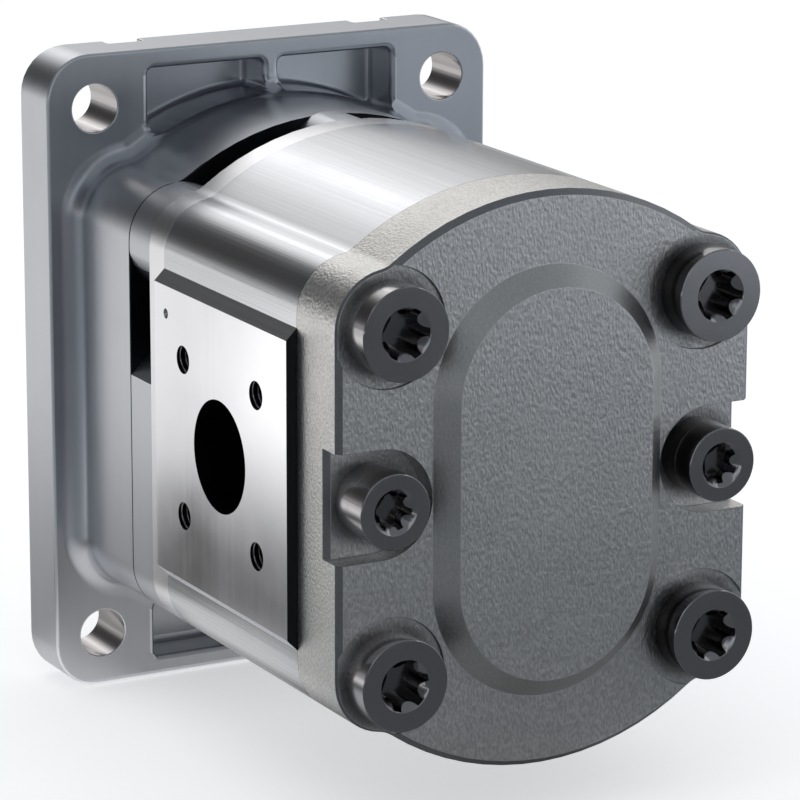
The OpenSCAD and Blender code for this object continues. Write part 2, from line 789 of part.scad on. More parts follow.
// The pressure seal's path: round both bores on the outlet side
module field_shape(extra) {
    outer = gear_span / 2 + field_join;
    intersection() {
        difference() {
            eight(outer + extra);
            eight(outer - field_width - extra);
        }
        translate([-bush_d / 4 - extra, -gear_span - chamber_radius])
            square([2 * chamber_radius, gear_span + 2 * chamber_radius]);
    }
}

// A block between its face at the gears and its outer face at a cover
module bearing_block(inner, outer) {
    rear = min(inner, outer);
    front = max(inner, outer);
    into = outer > inner ? -1 : 1;
    groove = outer + into * field_depth;
    past = outer - into;
    color("#b9a878") difference() {
        between(rear, front) eight(chamber_radius - block_play);
        for (z = [0, -gear_span]) bar(0, z, bush_d / 2, rear - 1, front + 1, fn = 64);
        between(min(groove, past), max(groove, past)) field_shape(seal_play);
        for (side = [-1, 1])
            translate([side * relief_x - relief_w / 2, inner - relief_depth, mid_z - relief_h / 2])
                cube([relief_w, 2 * relief_depth, relief_h]);
    }
}

module front_bearing_block() {
    bearing_block(y_gear_front + side_play, y_front);
}

module rear_bearing_block() {
    bearing_block(y_gear_rear - side_play, y_rear);
}

module bush(z, rear) {
    color("#b08d4a") difference() {
        bar(0, z, bush_d / 2 - SMALL, rear, rear + block_len, fn = 64);
        bar(0, z, journal_radius + journal_play, rear - 1, rear + block_len + 1, fn = 64);
    }
}

module pressure_seal(outer, into) {
    inner = outer + into * (field_depth - seal_squeeze);
    color("#26282a") between(min(outer, inner), max(outer, inner)) field_shape(0);
}

module ring_shape(shrink) {
    difference() {
        stadium(chamber_radius + ring_land + ring_width - shrink);
        stadium(chamber_radius + ring_land + shrink);
    }
}

module ring_seal(rear, front) {
    color("#26282a") between(rear, front) ring_shape(seal_play);
}

// Outboard ball bearing

module race_groove() {
    rotate([90, 0, 0]) rotate_extrude($fn = 96)
        translate([pitch_radius, 0]) circle(r = ball_d / 2 + ball_play, $fn = 48);
}

module bearing_outer_ring() {
    color("#c0c3c8") difference() {
        bar(0, 0, bearing_od / 2, y_bearing_rear, y_bearing_front, fn = 96);
        bar(0, 0, bearing_od / 2 - race_wall, y_bearing_rear - 1, y_bearing_front + 1, fn = 96);
        translate([0, y_balls, 0]) race_groove();
    }
}

module bearing_inner_ring() {
    color("#c0c3c8") difference() {
        bar(0, 0, shaft_radius + race_wall, y_bearing_rear, y_bearing_front, fn = 96);
        bar(0, 0, shaft_radius + SMALL, y_bearing_rear - 1, y_bearing_front + 1, fn = 64);
        translate([0, y_balls, 0]) race_groove();
    }
}

module at_balls() {
    for (k = [0:ball_count - 1])
        rotate([0, k * 360 / ball_count, 0]) translate([pitch_radius, y_balls, 0]) children();
}

module bearing_balls() {
    color("#d5d8dc") at_balls() sphere(r = ball_d / 2, $fn = 32);
}

module bearing_cage() {
    half = ball_d / 2 + cage_wall;
    color("#b3925a") difference() {
        bar(0, 0, pitch_radius + cage_wall, y_balls - half, y_balls + half, fn = 96);
        bar(0, 0, pitch_radius - cage_wall, y_balls - half - 1, y_balls + half + 1, fn = 96);
        at_balls() rotate([0, 90, 0])
            cylinder(h = 4 * cage_wall, r = ball_d / 2 + cage_play, center = true, $fn = 32);
    }
}

module bearing_clip() {
    outer = bearing_od / 2 + clip_depth - clip_play;
    inner = outer - clip_width;
    color("#3c3e42") difference() {
        bar(0, 0, outer, y_bearing_rear - clip_thick, y_bearing_rear, fn = 96);
        bar(0, 0, inner, y_bearing_rear - clip_thick - 1, y_bearing_rear + 1, fn = 96);
        translate([-clip_gap / 2, y_bearing_rear - clip_thick - 1, -outer - 1])
            cube([clip_gap, clip_thick + 2, clip_width + 2]);
    }
}

// Shaft seals

// A lip seal turned about the shaft: case, web and lip, open at its rear
module shaft_seal(r_shaft, rear) {
    outer = seal_od / 2;
    inner = outer - seal_case;
    web = seal_width * 0.75;
    color("#1f2123") translate([0, rear, 0]) rotate([-90, 0, 0]) rotate_extrude($fn = 96) polygon([
        [outer, 0], [outer, seal_width], [r_shaft + lip_rise, seal_width],
        [r_shaft + seal_play, seal_width * 0.62], [r_shaft + lip_rise + lip_thick / 2, seal_width * 0.35],
        [r_shaft + lip_rise + lip_thick, web], [inner, web], [inner, 0]
    ]);
}

module inner_shaft_seal() {
    shaft_seal(journal_radius, y_hub - seal_width);
}

module outer_shaft_seal() {
    shaft_seal(shaft_radius, y_outer_seal);
}

// Key, washer and nut on the shaft's end

// Half-moon key, its round side down, drawn at its seat's bottom
module key_shape(play) {
    translate([0, y_key, 0]) difference() {
        translate([0, 0, key_d / 2]) rotate([0, 90, 0])
            cylinder(h = key_thick + 2 * play, r = key_d / 2 + play, center = true, $fn = 64);
        translate([-key_thick, -key_d, key_height + (play > 0 ? key_height : 0)])
            cube([2 * key_thick, 2 * key_d, 2 * key_d]);
    }
}

module shaft_key() {
    color("#8f9296") translate([0, 0, key_z]) key_shape(0);
}

module lock_washer() {
    bore = thread_d / 2 + washer_play;
    color("#8f9296") difference() {
        bar(0, 0, thread_d / 2 + washer_rim, y_thread, y_thread + washer_thick, fn = 64);
        bar(0, 0, bore, y_thread - 1, y_thread + washer_thick + 1, fn = 48);
        translate([bore - 1, y_thread - 1, -washer_slot / 2])
            cube([washer_rim + 2, washer_thick + 2, washer_slot]);
    }
}

module shaft_nut() {
    seat = y_thread + washer_thick;
    color("#8f9296") difference() {
        intersection() {
            bar(0, 0, nut_flats / cos(30) / 2, seat, seat + nut_thick, fn = 6);
            bar(0, 0, nut_flats / 2 + nut_corner, seat, seat + nut_thick, fn = 64);
        }
        bar(0, 0, thread_d / 2 + screw_play, seat - 1, seat + nut_thick + 1, fn = 48);
    }
}

mounting_flange();
front_cover();
pump_body();
rear_cover();
cover_screw(1);  // cover_screw_1
cover_screw(2);  // cover_screw_2
cover_screw(3);  // cover_screw_3
cover_screw(4);  // cover_screw_4
centre_screw(-1);  // centre_screw_left
centre_screw(1);  // centre_screw_right
spacer(-1);  // spacer_left
spacer(1);  // spacer_right
dowel(0, y_front, 1);  // front_dowel_1
dowel(1, y_front, 1);  // front_dowel_2
dowel(0, y_rear, -1);  // rear_dowel_1
dowel(1, y_rear, -1);  // rear_dowel_2
drive_gear_shaft();
driven_gear();
front_bearing_block();
rear_bearing_block();
bush(0, y_gear_front + side_play);  // bush_front_drive
bush(-gear_span, y_gear_front + side_play);  // bush_front_driven
bush(0, y_rear);  // bush_rear_drive
bush(-gear_span, y_rear);  // bush_rear_driven
pressure_seal(y_front, -1);  // front_pressure_seal
pressure_seal(y_rear, 1);  // rear_pressure_seal
ring_seal(y_front - ring_depth + seal_play, y_front);  // front_ring_seal
ring_seal(y_rear, y_rear + ring_depth - seal_play);  // rear_ring_seal
bearing_outer_ring();
bearing_inner_ring();
bearing_cage();
bearing_balls();
bearing_clip();
inner_shaft_seal();
outer_shaft_seal();
shaft_key();
lock_washer();
shaft_nut();
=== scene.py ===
# %% [markdown]
# # An external gear pump
#
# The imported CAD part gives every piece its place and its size. This lesson adds what the CAD part
# can't say: how each surface was made, how its edges feel, and how light runs over it. Nearly all of
# the pump is bare metal, so most of its look comes from two things: fine surface texture, and what
# there is round the pump to be reflected.

# %% Load the frame
import json
import math

import bmesh
import bpy
from mathutils import Matrix, Vector


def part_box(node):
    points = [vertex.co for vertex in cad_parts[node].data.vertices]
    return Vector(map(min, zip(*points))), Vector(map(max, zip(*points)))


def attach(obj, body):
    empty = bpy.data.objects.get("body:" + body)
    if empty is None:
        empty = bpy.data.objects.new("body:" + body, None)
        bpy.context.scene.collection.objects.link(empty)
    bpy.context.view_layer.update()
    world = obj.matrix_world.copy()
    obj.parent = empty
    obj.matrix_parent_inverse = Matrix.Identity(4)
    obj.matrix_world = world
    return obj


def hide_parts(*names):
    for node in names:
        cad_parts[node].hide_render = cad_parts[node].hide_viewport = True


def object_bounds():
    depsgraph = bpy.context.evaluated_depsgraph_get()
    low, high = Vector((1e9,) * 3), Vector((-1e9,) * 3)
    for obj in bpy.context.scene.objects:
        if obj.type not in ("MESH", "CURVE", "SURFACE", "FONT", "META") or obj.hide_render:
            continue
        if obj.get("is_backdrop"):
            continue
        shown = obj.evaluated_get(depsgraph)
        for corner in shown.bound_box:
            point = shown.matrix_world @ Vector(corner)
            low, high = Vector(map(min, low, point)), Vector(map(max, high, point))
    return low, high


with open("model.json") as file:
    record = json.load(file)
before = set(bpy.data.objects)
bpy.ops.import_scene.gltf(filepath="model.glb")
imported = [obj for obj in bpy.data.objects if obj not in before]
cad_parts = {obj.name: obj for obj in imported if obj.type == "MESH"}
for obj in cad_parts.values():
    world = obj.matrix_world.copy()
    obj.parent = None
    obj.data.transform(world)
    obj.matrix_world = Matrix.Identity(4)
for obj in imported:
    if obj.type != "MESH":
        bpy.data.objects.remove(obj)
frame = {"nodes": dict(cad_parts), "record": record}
cad_box = [list(corner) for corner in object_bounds()]
MM, MICRON = 0.001, 0.000001
print("size in mm:", [round((b - a) / MM, 1) for a, b in zip(*cad_box)])

# %% [markdown]
# ## The camera
#
# The photograph looks at the rear cover from the left and from a little above, with a long lens. The
# camera's three axes are written out from its turn round the pump, its height angle and a tiny roll,
# which is easier to check than a chain of rotations.

# %% Camera
CAMERA_PLACE = Vector((-0.356626, -0.720268, 0.179324))
LOOK_AZIMUTH, LOOK_HEIGHT, LOOK_ROLL = (math.radians(a) for a in (-28.46, 14.428, 0.155))
right = Vector((math.cos(LOOK_AZIMUTH), math.sin(LOOK_AZIMUTH), 0))
back = Vector((
    math.sin(LOOK_AZIMUTH) * math.cos(LOOK_HEIGHT),
    -math.cos(LOOK_AZIMUTH) * math.cos(LOOK_HEIGHT),
    math.sin(LOOK_HEIGHT),
))
up = back.cross(right)
turn = Matrix((right, up, back)).transposed().to_4x4() @ Matrix.Rotation(LOOK_ROLL, 4, "Z")
camera = bpy.data.objects.new("camera", bpy.data.cameras.new("camera"))
bpy.context.scene.collection.objects.link(camera)
camera.matrix_world = Matrix.Translation(CAMERA_PLACE) @ turn
camera.data.lens = 194.6
camera.data.sensor_width = 36
camera.data.clip_start = 0.01
bpy.context.scene.camera = camera
bpy.context.scene.view_settings.view_transform = "Standard"
print("camera distance in mm:", round(CAMERA_PLACE.length / MM))

# %% [markdown]
# ## Where things are
#
# The CAD nodes say where the joints between the castings are. Reading them here keeps the finishes in
# step with the part when one of its sizes changes.

# %% Places along the pump
NECK_LENGTH, RAISED_HEIGHT = 8.4 * MM, 3.3 * MM
Y_FRONT, Y_HUB = (corner.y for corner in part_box("front_cover"))
Y_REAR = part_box("pump_body")[0].y
Y_MIDDLE = (Y_FRONT + Y_REAR) / 2
Y_NECK = Y_HUB - NECK_LENGTH
Y_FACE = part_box("rear_cover")[0].y + RAISED_HEIGHT
MIDDLE_Z = sum(corner.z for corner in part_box("pump_body")) / 2
FLOOR_Z, FLANGE_TOP = (corner.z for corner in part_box("mounting_flange"))
HALF_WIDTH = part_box("rear_cover")[1].x
PORT_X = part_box("pump_body")[1].x
print("joints along Y in mm:", [round(y / MM, 1) for y in (Y_HUB, Y_NECK, Y_FRONT, Y_REAR, Y_FACE)])

# %% [markdown]
# ## Building materials in code
#
# A material is a small drawing of boxes and wires. One helper puts a box in and wires it, so that each
# finish below reads from top to bottom. The others are the sums that turn up all the time.

# %% Helpers: put a node in a tree
WHITE = (1, 1, 1, 1)


def put(tree, kind, *inputs, settings=None, **named):
    """Adds a node. Inputs are given in order, or by name with _ for a space; sockets are linked."""
    node = tree.nodes.new(kind)
    for name, value in (settings or {}).items():
        setattr(node, name, value)
    pairs = [(node.inputs[i], value) for i, value in enumerate(inputs) if value is not None]
    pairs += [(node.inputs[name.replace("_", " ")], value) for name, value in named.items()]
    for socket, value in pairs:
        if isinstance(value, bpy.types.NodeSocket):
            tree.links.new(value, socket)
        else:
            socket.default_value = value
    return node


def math_node(tree, operation, *inputs):
    return put(tree, "ShaderNodeMath", *inputs, settings={"operation": operation}).outputs[0]


def product(tree, first, *others):
    for other in others:
        first = math_node(tree, "MULTIPLY", first, other)
    return first


def ramp(tree, value, low, high, low_out=0.0, high_out=1.0):
    """Maps a value softly from low..high to low_out..high_out, and holds it there outside."""
    settings = {"interpolation_type": "SMOOTHSTEP"}
    node = put(tree, "ShaderNodeMapRange", value, low, high, low_out, high_out, settings=settings)
    return node.outputs[0]


# %% Helpers: mix colours, and read places and attributes
def mix_colours(tree, factor, a, b):
    node = put(tree, "ShaderNodeMix", settings={"data_type": "RGBA"})
    for index, value in ((0, factor), (6, a), (7, b)):
        if isinstance(value, bpy.types.NodeSocket):
            tree.links.new(value, node.inputs[index])
        else:
            node.inputs[index].default_value = value
    return node.outputs[2]


def object_place(tree):
    return put(tree, "ShaderNodeTexCoord").outputs["Object"]


def attribute(tree, name):
    return put(tree, "ShaderNodeAttribute", settings={"attribute_name": name}).outputs["Fac"]


# %% [markdown]
# ### Shared effects as node groups
#
# Four effects turn up in several finishes. Brush or grinding lines are noise stretched along the
# tool's path. The skin of a casting is fine noise with shallow, rounded pits. Handling marks are large,
# faint clouds. A ring round each screw head is painted shade, standing in for the shadow there. They
# could be painted into images, but a pattern made from places has no seams and no fixed sharpness. Each
# is a group with named inputs, and gives out only numbers, so that each material decides what to do
# with them.

# %% Group: tool lines
def new_group(name, inputs, outputs):
    tree = bpy.data.node_groups.new(name, "ShaderNodeTree")
    for label, kind, default in inputs:
        socket = tree.interface.new_socket(label, in_out="INPUT", socket_type=kind)
        socket.default_value = default
    for label in outputs:
        tree.interface.new_socket(label, in_out="OUTPUT", socket_type="NodeSocketFloat")
    return tree, tree.nodes.new("NodeGroupInput"), tree.nodes.new("NodeGroupOutput")


def scaled_place(tree, factors):
    """The object's coordinates, each multiplied by its own factor."""
    settings = {"operation": "MULTIPLY"}
    return put(tree, "ShaderNodeVectorMath", object_place(tree), factors, settings=settings).outputs[0]


tool_lines, source, result = new_group(
    "tool lines",
    [("Lines per metre", "NodeSocketVector", (4000, 60, 4000)), ("Band size", "NodeSocketFloat", 0.15)],
    ["Height", "Bands"],
)
stretched = scaled_place(tool_lines, source.outputs[0])
fine = put(tool_lines, "ShaderNodeTexNoise", Vector=stretched, Scale=1.0, Detail=4.0, Roughness=0.6)
wide_place = put(tool_lines, "ShaderNodeVectorMath", stretched, settings={"operation": "SCALE"})
tool_lines.links.new(source.outputs[1], wide_place.inputs["Scale"])
wide = put(
    tool_lines, "ShaderNodeTexNoise", Vector=wide_place.outputs[0], Scale=1.0, Detail=2.0,
    Roughness=0.5,
)
tool_lines.links.new(fine.outputs[0], result.inputs[0])
tool_lines.links.new(wide.outputs[0], result.inputs[1])
print("group:", tool_lines.name)

# %% Group: cast skin
cast_skin, source, result = new_group(
    "cast skin",
    [("Grains per metre", "NodeSocketVector", (1400, 1400, 500)), ("Pits", "NodeSocketFloat", 0.4)],
    ["Height", "Tone"],
)
stretched = scaled_place(cast_skin, source.outputs[0])
grain = put(cast_skin, "ShaderNodeTexNoise", Vector=stretched, Scale=1.0, Detail=2.0, Roughness=0.45)
cells = put(
    cast_skin, "ShaderNodeTexVoronoi", Vector=stretched, Scale=0.8, Smoothness=0.6,
    settings={"feature": "SMOOTH_F1"},
)
pits = product(cast_skin, cells.outputs["Distance"], source.outputs[1])
height = math_node(cast_skin, "ADD", grain.outputs[0], pits)
cast_skin.links.new(height, result.inputs[0])
cast_skin.links.new(ramp(cast_skin, grain.outputs[0], 0.3, 0.7), result.inputs[1])
print("group:", cast_skin.name)

# %% Group: handling marks
handling, source, result = new_group(
    "handling marks", [("Marks per metre", "NodeSocketFloat", 40.0)], ["Mask"],
)
cloud = put(
    handling, "ShaderNodeTexNoise", Vector=object_place(handling), Scale=source.outputs[0], Detail=3.0,
    Roughness=0.55,
)
handling.links.new(ramp(handling, cloud.outputs[0], 0.35, 0.7), result.inputs[0])
print("group:", handling.name)

# %% Group: painted shade round screws
shade_round_screws, source, result = new_group(
    "dust round screws", [("Reach", "NodeSocketFloat", 0.003)], ["Mask"],
)
split = put(shade_round_screws, "ShaderNodeSeparateXYZ", object_place(shade_round_screws))
across = math_node(shade_round_screws, "ABSOLUTE", split.outputs["X"])
upward = math_node(
    shade_round_screws, "ABSOLUTE", math_node(shade_round_screws, "SUBTRACT", split.outputs["Z"], MIDDLE_Z),
)
masks = []
for node_name in ("cover_screw_1", "centre_screw_left"):
    low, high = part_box(node_name)
    head = (high.x - low.x) / 2
    side = math_node(shade_round_screws, "SUBTRACT", across, abs(low.x + high.x) / 2)
    height = math_node(shade_round_screws, "SUBTRACT", upward, abs((low.z + high.z) / 2 - MIDDLE_Z))
    squares = [product(shade_round_screws, part, part) for part in (side, height)]
    away = math_node(shade_round_screws, "SQRT", math_node(shade_round_screws, "ADD", *squares))
    end = math_node(shade_round_screws, "ADD", source.outputs[0], head)
    masks.append(ramp(shade_round_screws, away, head, end, 1.0, 0.0))
    print(node_name, "head radius in mm:", round(head / MM, 1))
shade_round_screws.links.new(math_node(shade_round_screws, "MAXIMUM", *masks), result.inputs[0])
print("group:", shade_round_screws.name)


# %% [markdown]
# ### The metal finishes
#
# Every metal here is a Principled shader with Metallic at 1. What differs is the colour, the sharpness
# of the reflection, and which pattern roughens it. The colour is darkened and lightened a little by the
# same pattern that makes the relief, because the real marks do both. Two attributes of the faces change
# it further: one paints shade into sockets and onto the inner sides of screw heads, and rim lightens
# bevelled edges, partly as wear and partly as a painted highlight.

# %% Helper: a metal finish
# How dark painted shade in sockets and round the screws makes a colour, and how light an edge may get.
PAINTED_SHADE_SHARE, SCREW_SHADE_SHARE, LIGHTEST = 0.15, 0.2, 0.92
ROUGHNESS_SPREAD, MARKS_PER_METRE, SCREW_SHADE_REACH = 0.06, 40.0, 3 * MM


def use_group(tree, group, **inputs):
    node = tree.nodes.new("ShaderNodeGroup")
    node.node_tree = group
    for name, value in inputs.items():
        node.inputs[name.replace("_", " ")].default_value = value
    return node


def toned(colour, factor=1.0, most=1.0):
    """A colour times a factor, held under a highest value, with alpha 1."""
    return tuple(min(c * factor, most) for c in colour) + (1,)


def metal(name, colour, roughness, pattern, relief, tint=0.06, wear_and_highlight=1.35, screw_shade=0.0):
    """A bare metal. pattern adds a group to a tree and returns its height and tone.

    relief is the pattern's height in micrometres and tint is how far it changes the colour. The factor
    after tint makes a bevelled edge lighter, partly as wear and partly as a painted highlight, and the
    last one is how much painted shade lies round the screws.
    """
    material = bpy.data.materials.new(name)
    material.use_nodes = True
    tree = material.node_tree
    shader = tree.nodes["Principled BSDF"]
    height, tone = pattern(tree)
    base = mix_colours(tree, tone, toned(colour, 1 - tint), toned(colour, 1 + tint))
    # Painted shade: faces marked by the screw sets are darkened towards black.
    base = mix_colours(tree, attribute(tree, "deep"), base, toned(colour, PAINTED_SHADE_SHARE))
    # Painted shade in a ring round each screw head.
    if screw_shade:
        near = product(tree, use_group(tree, shade_round_screws, Reach=SCREW_SHADE_REACH).outputs[0], screw_shade)
        base = mix_colours(tree, near, base, toned(colour, SCREW_SHADE_SHARE))
    # Bevelled edges are made lighter, partly as wear and partly as a painted highlight.
    bright = toned(colour, wear_and_highlight, LIGHTEST)
    tree.links.new(mix_colours(tree, attribute(tree, "rim"), base, bright), shader.inputs["Base Color"])
    cloud = use_group(tree, handling, Marks_per_metre=MARKS_PER_METRE).outputs[0]
    grain = product(tree, tone, ROUGHNESS_SPREAD)
    haze = product(tree, cloud, ROUGHNESS_SPREAD)
    rough = math_node(tree, "ADD", math_node(tree, "ADD", grain, roughness - ROUGHNESS_SPREAD), haze)
    tree.links.new(rough, shader.inputs["Roughness"])
    bump = put(tree, "ShaderNodeBump", Strength=1.0, Distance=relief * MICRON, Height=height)
    tree.links.new(bump.outputs[0], shader.inputs["Normal"])
    shader.inputs["Metallic"].default_value = 1.0
    return material


def lines(x, y, z, band=0.15):
    def pattern(tree):
        node = use_group(tree, tool_lines, Lines_per_metre=(x, y, z), Band_size=band)
        return node.outputs["Height"], node.outputs["Bands"]
    return pattern


def skin(x, y, z, pits=0.4):
    def pattern(tree):
        node = use_group(tree, cast_skin, Grains_per_metre=(x, y, z), Pits=pits)
        return node.outputs["Height"], node.outputs["Tone"]
    return pattern


# %% Finishes of the flange and of the housing
flange_satin = metal(
    "flange_satin", (0.60, 0.615, 0.645), 0.32, lines(2600, 2600, 60), 1.5, tint=0.05, wear_and_highlight=1.5,
)
milled_face = metal(
    "milled_face", (0.70, 0.72, 0.74), 0.30, lines(2200, 2200, 50), 4, tint=0.05, wear_and_highlight=1.15,
)
machined_rim = metal("machined_rim", (0.86, 0.86, 0.87), 0.24, lines(2500, 40, 2500), 3, wear_and_highlight=1.05)
hole_bright = metal(
    "hole_bright", (0.55, 0.52, 0.52), 0.20, lines(1400, 30, 1400), 12, tint=0.20, wear_and_highlight=1.1,
)
# Painted shade: black for the port bores. The faces at the joints use it too, as dark joints.
bore_black = metal("bore_black", (0.045, 0.045, 0.05), 0.36, lines(300, 3000, 300), 2, wear_and_highlight=1.0)
# Painted shade: black for the recess round the front cover's neck and the hub's end there, also a dark
# joint.
deep_black = metal("deep_black", (0.035, 0.036, 0.04), 0.50, skin(900, 900, 900), 10, wear_and_highlight=1.0)
brushed = metal(
    "brushed_housing", (0.65, 0.66, 0.68), 0.20, lines(3600, 20, 3600, 0.8), 9, tint=0.15, wear_and_highlight=1.1,
)
port_polish = metal(
    "port_polish", (0.93, 0.93, 0.955), 0.15, lines(3000, 3000, 50), 1, tint=0.01, wear_and_highlight=1.05,
)
print("finishes so far:", [m.name for m in bpy.data.materials])

# %% Finishes of the rear cover
cover_face = metal(
    "cover_face", (0.83, 0.81, 0.79), 0.38, skin(2600, 2600, 1200), 80, tint=0.12, wear_and_highlight=1.1, screw_shade=0.75,
)
cover_wall = metal(
    "cover_wall", (0.80, 0.78, 0.75), 0.40, skin(2200, 2200, 1900), 100, tint=0.14, wear_and_highlight=1.1,
)
cover_chamfer = metal(
    "cover_chamfer", (0.36, 0.36, 0.36), 0.44, skin(2600, 2600, 1800), 30, wear_and_highlight=1.1, screw_shade=0.5,
)
cover_smooth = metal(
    "cover_smooth", (0.70, 0.69, 0.67), 0.46, skin(2600, 2600, 1800), 30, wear_and_highlight=1.1, screw_shade=0.75,
)
print("finishes so far:", len(bpy.data.materials))

# %% Finishes of the small pieces
black_oxide = metal("black_oxide", (0.45, 0.435, 0.435), 0.18, lines(900, 900, 900), 1, wear_and_highlight=1.4)
ground_steel = metal("ground_steel", (0.62, 0.62, 0.64), 0.20, lines(400, 5000, 400), 2, wear_and_highlight=1.2)
gear_steel = metal("gear_steel", (0.55, 0.55, 0.57), 0.24, lines(3000, 50, 3000), 2, wear_and_highlight=1.2)
pin_steel = metal("pin_steel", (0.66, 0.66, 0.68), 0.18, lines(400, 5000, 400), 1)
bearing_steel = metal("bearing_steel", (0.72, 0.73, 0.75), 0.12, lines(400, 6000, 400), 1)
block_alloy = metal("block_alloy", (0.74, 0.66, 0.50), 0.32, lines(1500, 1500, 1500), 3)
bush_bronze = metal("bush_bronze", (0.66, 0.47, 0.24), 0.28, lines(400, 4000, 400), 2)
cage_brass = metal("cage_brass", (0.72, 0.54, 0.26), 0.26, lines(400, 3000, 400), 2)
zinc_plate = metal("zinc_plate", (0.58, 0.59, 0.60), 0.30, lines(1200, 1200, 1200), 2, wear_and_highlight=1.2)
print("finishes so far:", len(bpy.data.materials))


# %% [markdown]
# Rubber isn't a metal: it is nearly black, with a dull sheen and a fine moulded texture.

# %% Rubber
def rubber(name, colour):
    material = bpy.data.materials.new(name)
    material.use_nodes = True
    tree = material.node_tree
    shader = tree.nodes["Principled BSDF"]
    height, tone = skin(3000, 3000, 3000, 0.2)(tree)
    base = mix_colours(tree, tone, toned(colour, 0.8), toned(colour))
    tree.links.new(base, shader.inputs["Base Color"])
    tree.links.new(ramp(tree, tone, 0, 1, 0.48, 0.62), shader.inputs["Roughness"])
    bump = put(tree, "ShaderNodeBump", Strength=1.0, Distance=10 * MICRON, Height=height)
    tree.links.new(bump.outputs[0], shader.inputs["Normal"])
    return material


seal_rubber = rubber("seal_rubber", (0.03, 0.03, 0.032))
print("finishes:", len(bpy.data.materials))

# %% [markdown]
# ## Finishes on the CAD pieces that stay
#
# The pieces inside the pump keep their CAD shape. Each gets the finish of its own material slot, and
# only the washer, nut and key on the shaft's end are zinc plated.

# %% Finishes by material slot
SLOT_FINISH = {
    "flange_casting": flange_satin, "cover_casting": cover_face, "housing_metal": brushed,
    "screw_steel": black_oxide, "pin_steel": pin_steel, "gear_steel": gear_steel,
    "block_alloy": block_alloy, "bush_bronze": bush_bronze, "seal_rubber": seal_rubber,
    "bearing_steel": bearing_steel, "cage_brass": cage_brass,
}
PLATED = ("lock_washer", "shaft_nut", "shaft_key")
NODE_SLOT = {part["node"]: part["material_slot"] for part in frame["record"]["subparts"]}
for name, node in frame["nodes"].items():
    node.data.materials.clear()
    node.data.materials.append(zinc_plate if name in PLATED else SLOT_FINISH[NODE_SLOT[name]])
print("slots used:", sorted(set(NODE_SLOT.values())))


# %% [markdown]
# ## Edges
#
# No real edge is perfectly sharp: a fine bevel catches the light and tells the eye how big the piece
# is. A CAD node's mesh may not be changed, so each visible piece is copied. The copy's loose triangles
# are merged, flat triangles are joined back into whole faces, and a Bevel modifier rounds what is
# sharper than a given angle. The bevel's own faces are noted in an attribute called rim, which the
# finishes use to lighten these edges, partly as wear and partly as a painted highlight.

# %% Helpers: a bevelled copy of a CAD node
def merged_copy(node_name):
    """The node's mesh with its triangles merged, and flat neighbours joined into one face."""
    bm = bmesh.new()
    bm.from_mesh(frame["nodes"][node_name].data)
    bmesh.ops.remove_doubles(bm, verts=bm.verts, dist=MICRON)
    bmesh.ops.dissolve_limit(bm, angle_limit=math.radians(0.5), verts=bm.verts, edges=bm.edges)
    bmesh.ops.recalc_face_normals(bm, faces=bm.faces)
    return bm


def plain_mesh(made, name):
    """The mesh of an object as its modifiers leave it."""
    bpy.context.view_layer.update()
    done = bpy.data.meshes.new_from_object(made.evaluated_get(bpy.context.evaluated_depsgraph_get()))
    done.name = name
    return done


def bevelled(name, bm, width, angle=28, segments=2, share=None, clamp=True):
    """A mesh object from bm with rounded edges. share(edge) is an edge's part of the full width."""
    mesh = bpy.data.meshes.new(name)
    if share is not None:
        layer = bm.edges.layers.float.new("bevel_weight_edge")
        for edge in bm.edges:
            sharp = len(edge.link_faces) == 2 and edge.calc_face_angle(0) > math.radians(angle)
            edge[layer] = share(edge) if sharp else 0.0
    bm.to_mesh(mesh)
    bm.free()
    draft = bpy.data.objects.new(name + "_draft", mesh)
    bpy.context.scene.collection.objects.link(draft)
    plain, marker = (bpy.data.materials.new(f"{name}_{word}") for word in ("plain", "marker"))
    mesh.materials.append(plain)
    mesh.materials.append(marker)
    for face in mesh.polygons:
        face.use_smooth = True
    bevel = draft.modifiers.new("edges", "BEVEL")
    bevel.width = width
    bevel.segments = segments
    bevel.limit_method = "WEIGHT" if share is not None else "ANGLE"
    bevel.angle_limit = math.radians(angle)
    bevel.use_clamp_overlap = clamp
    bevel.material = 1
    bevel.miter_outer = "MITER_ARC"
    done = plain_mesh(draft, name)
    rim = done.attributes.new("rim", "FLOAT", "FACE")
    for face in done.polygons:
        rim.data[face.index].value = float(face.material_index == 1)
        face.material_index = 0
    done.materials.clear()
    bpy.data.objects.remove(draft)
    for old in (plain, marker):
        bpy.data.materials.remove(old)
    piece = bpy.data.objects.new(name, done)
    bpy.context.scene.collection.objects.link(piece)
    return piece


# %% Helpers: smooth a piece and give its faces their finish
def smooth_by_angle(piece, angle=32):
    """Smooth shading below an angle. Normals are weighted by area, so that flat faces stay flat."""
    piece.data.shade_smooth()
    piece.data.set_sharp_from_angle(angle=math.radians(angle))
    weights = piece.modifiers.new("normals", "WEIGHTED_NORMAL")
    weights.keep_sharp = True
    mesh = plain_mesh(piece, piece.name)
    piece.modifiers.remove(weights)
    piece.data = mesh


def finish_faces(piece, finishes, choose):
    """Gives each face the finish from the list that choose(centre, normal) returns."""
    for finish in finishes:
        piece.data.materials.append(finish)
    counts = [0] * len(finishes)
    for face in piece.data.polygons:
        face.material_index = finishes.index(choose(face.center, face.normal))
        counts[face.material_index] += 1
    print(f"{piece.name}: {len(piece.data.polygons)} faces, by finish {counts}")


# %% [markdown]
# ### The mounting flange
#
# One satin casting with a long hub. Its four holes are drilled bright, and its front face and pilot are
# machined flat after casting. The rims of its four casting pockets are wide and soft, so edges there
# get the full bevel and all others a quarter of it. The pockets have no rim, so their edges get neither
# the wear lightening nor the painted highlight of the other edges.

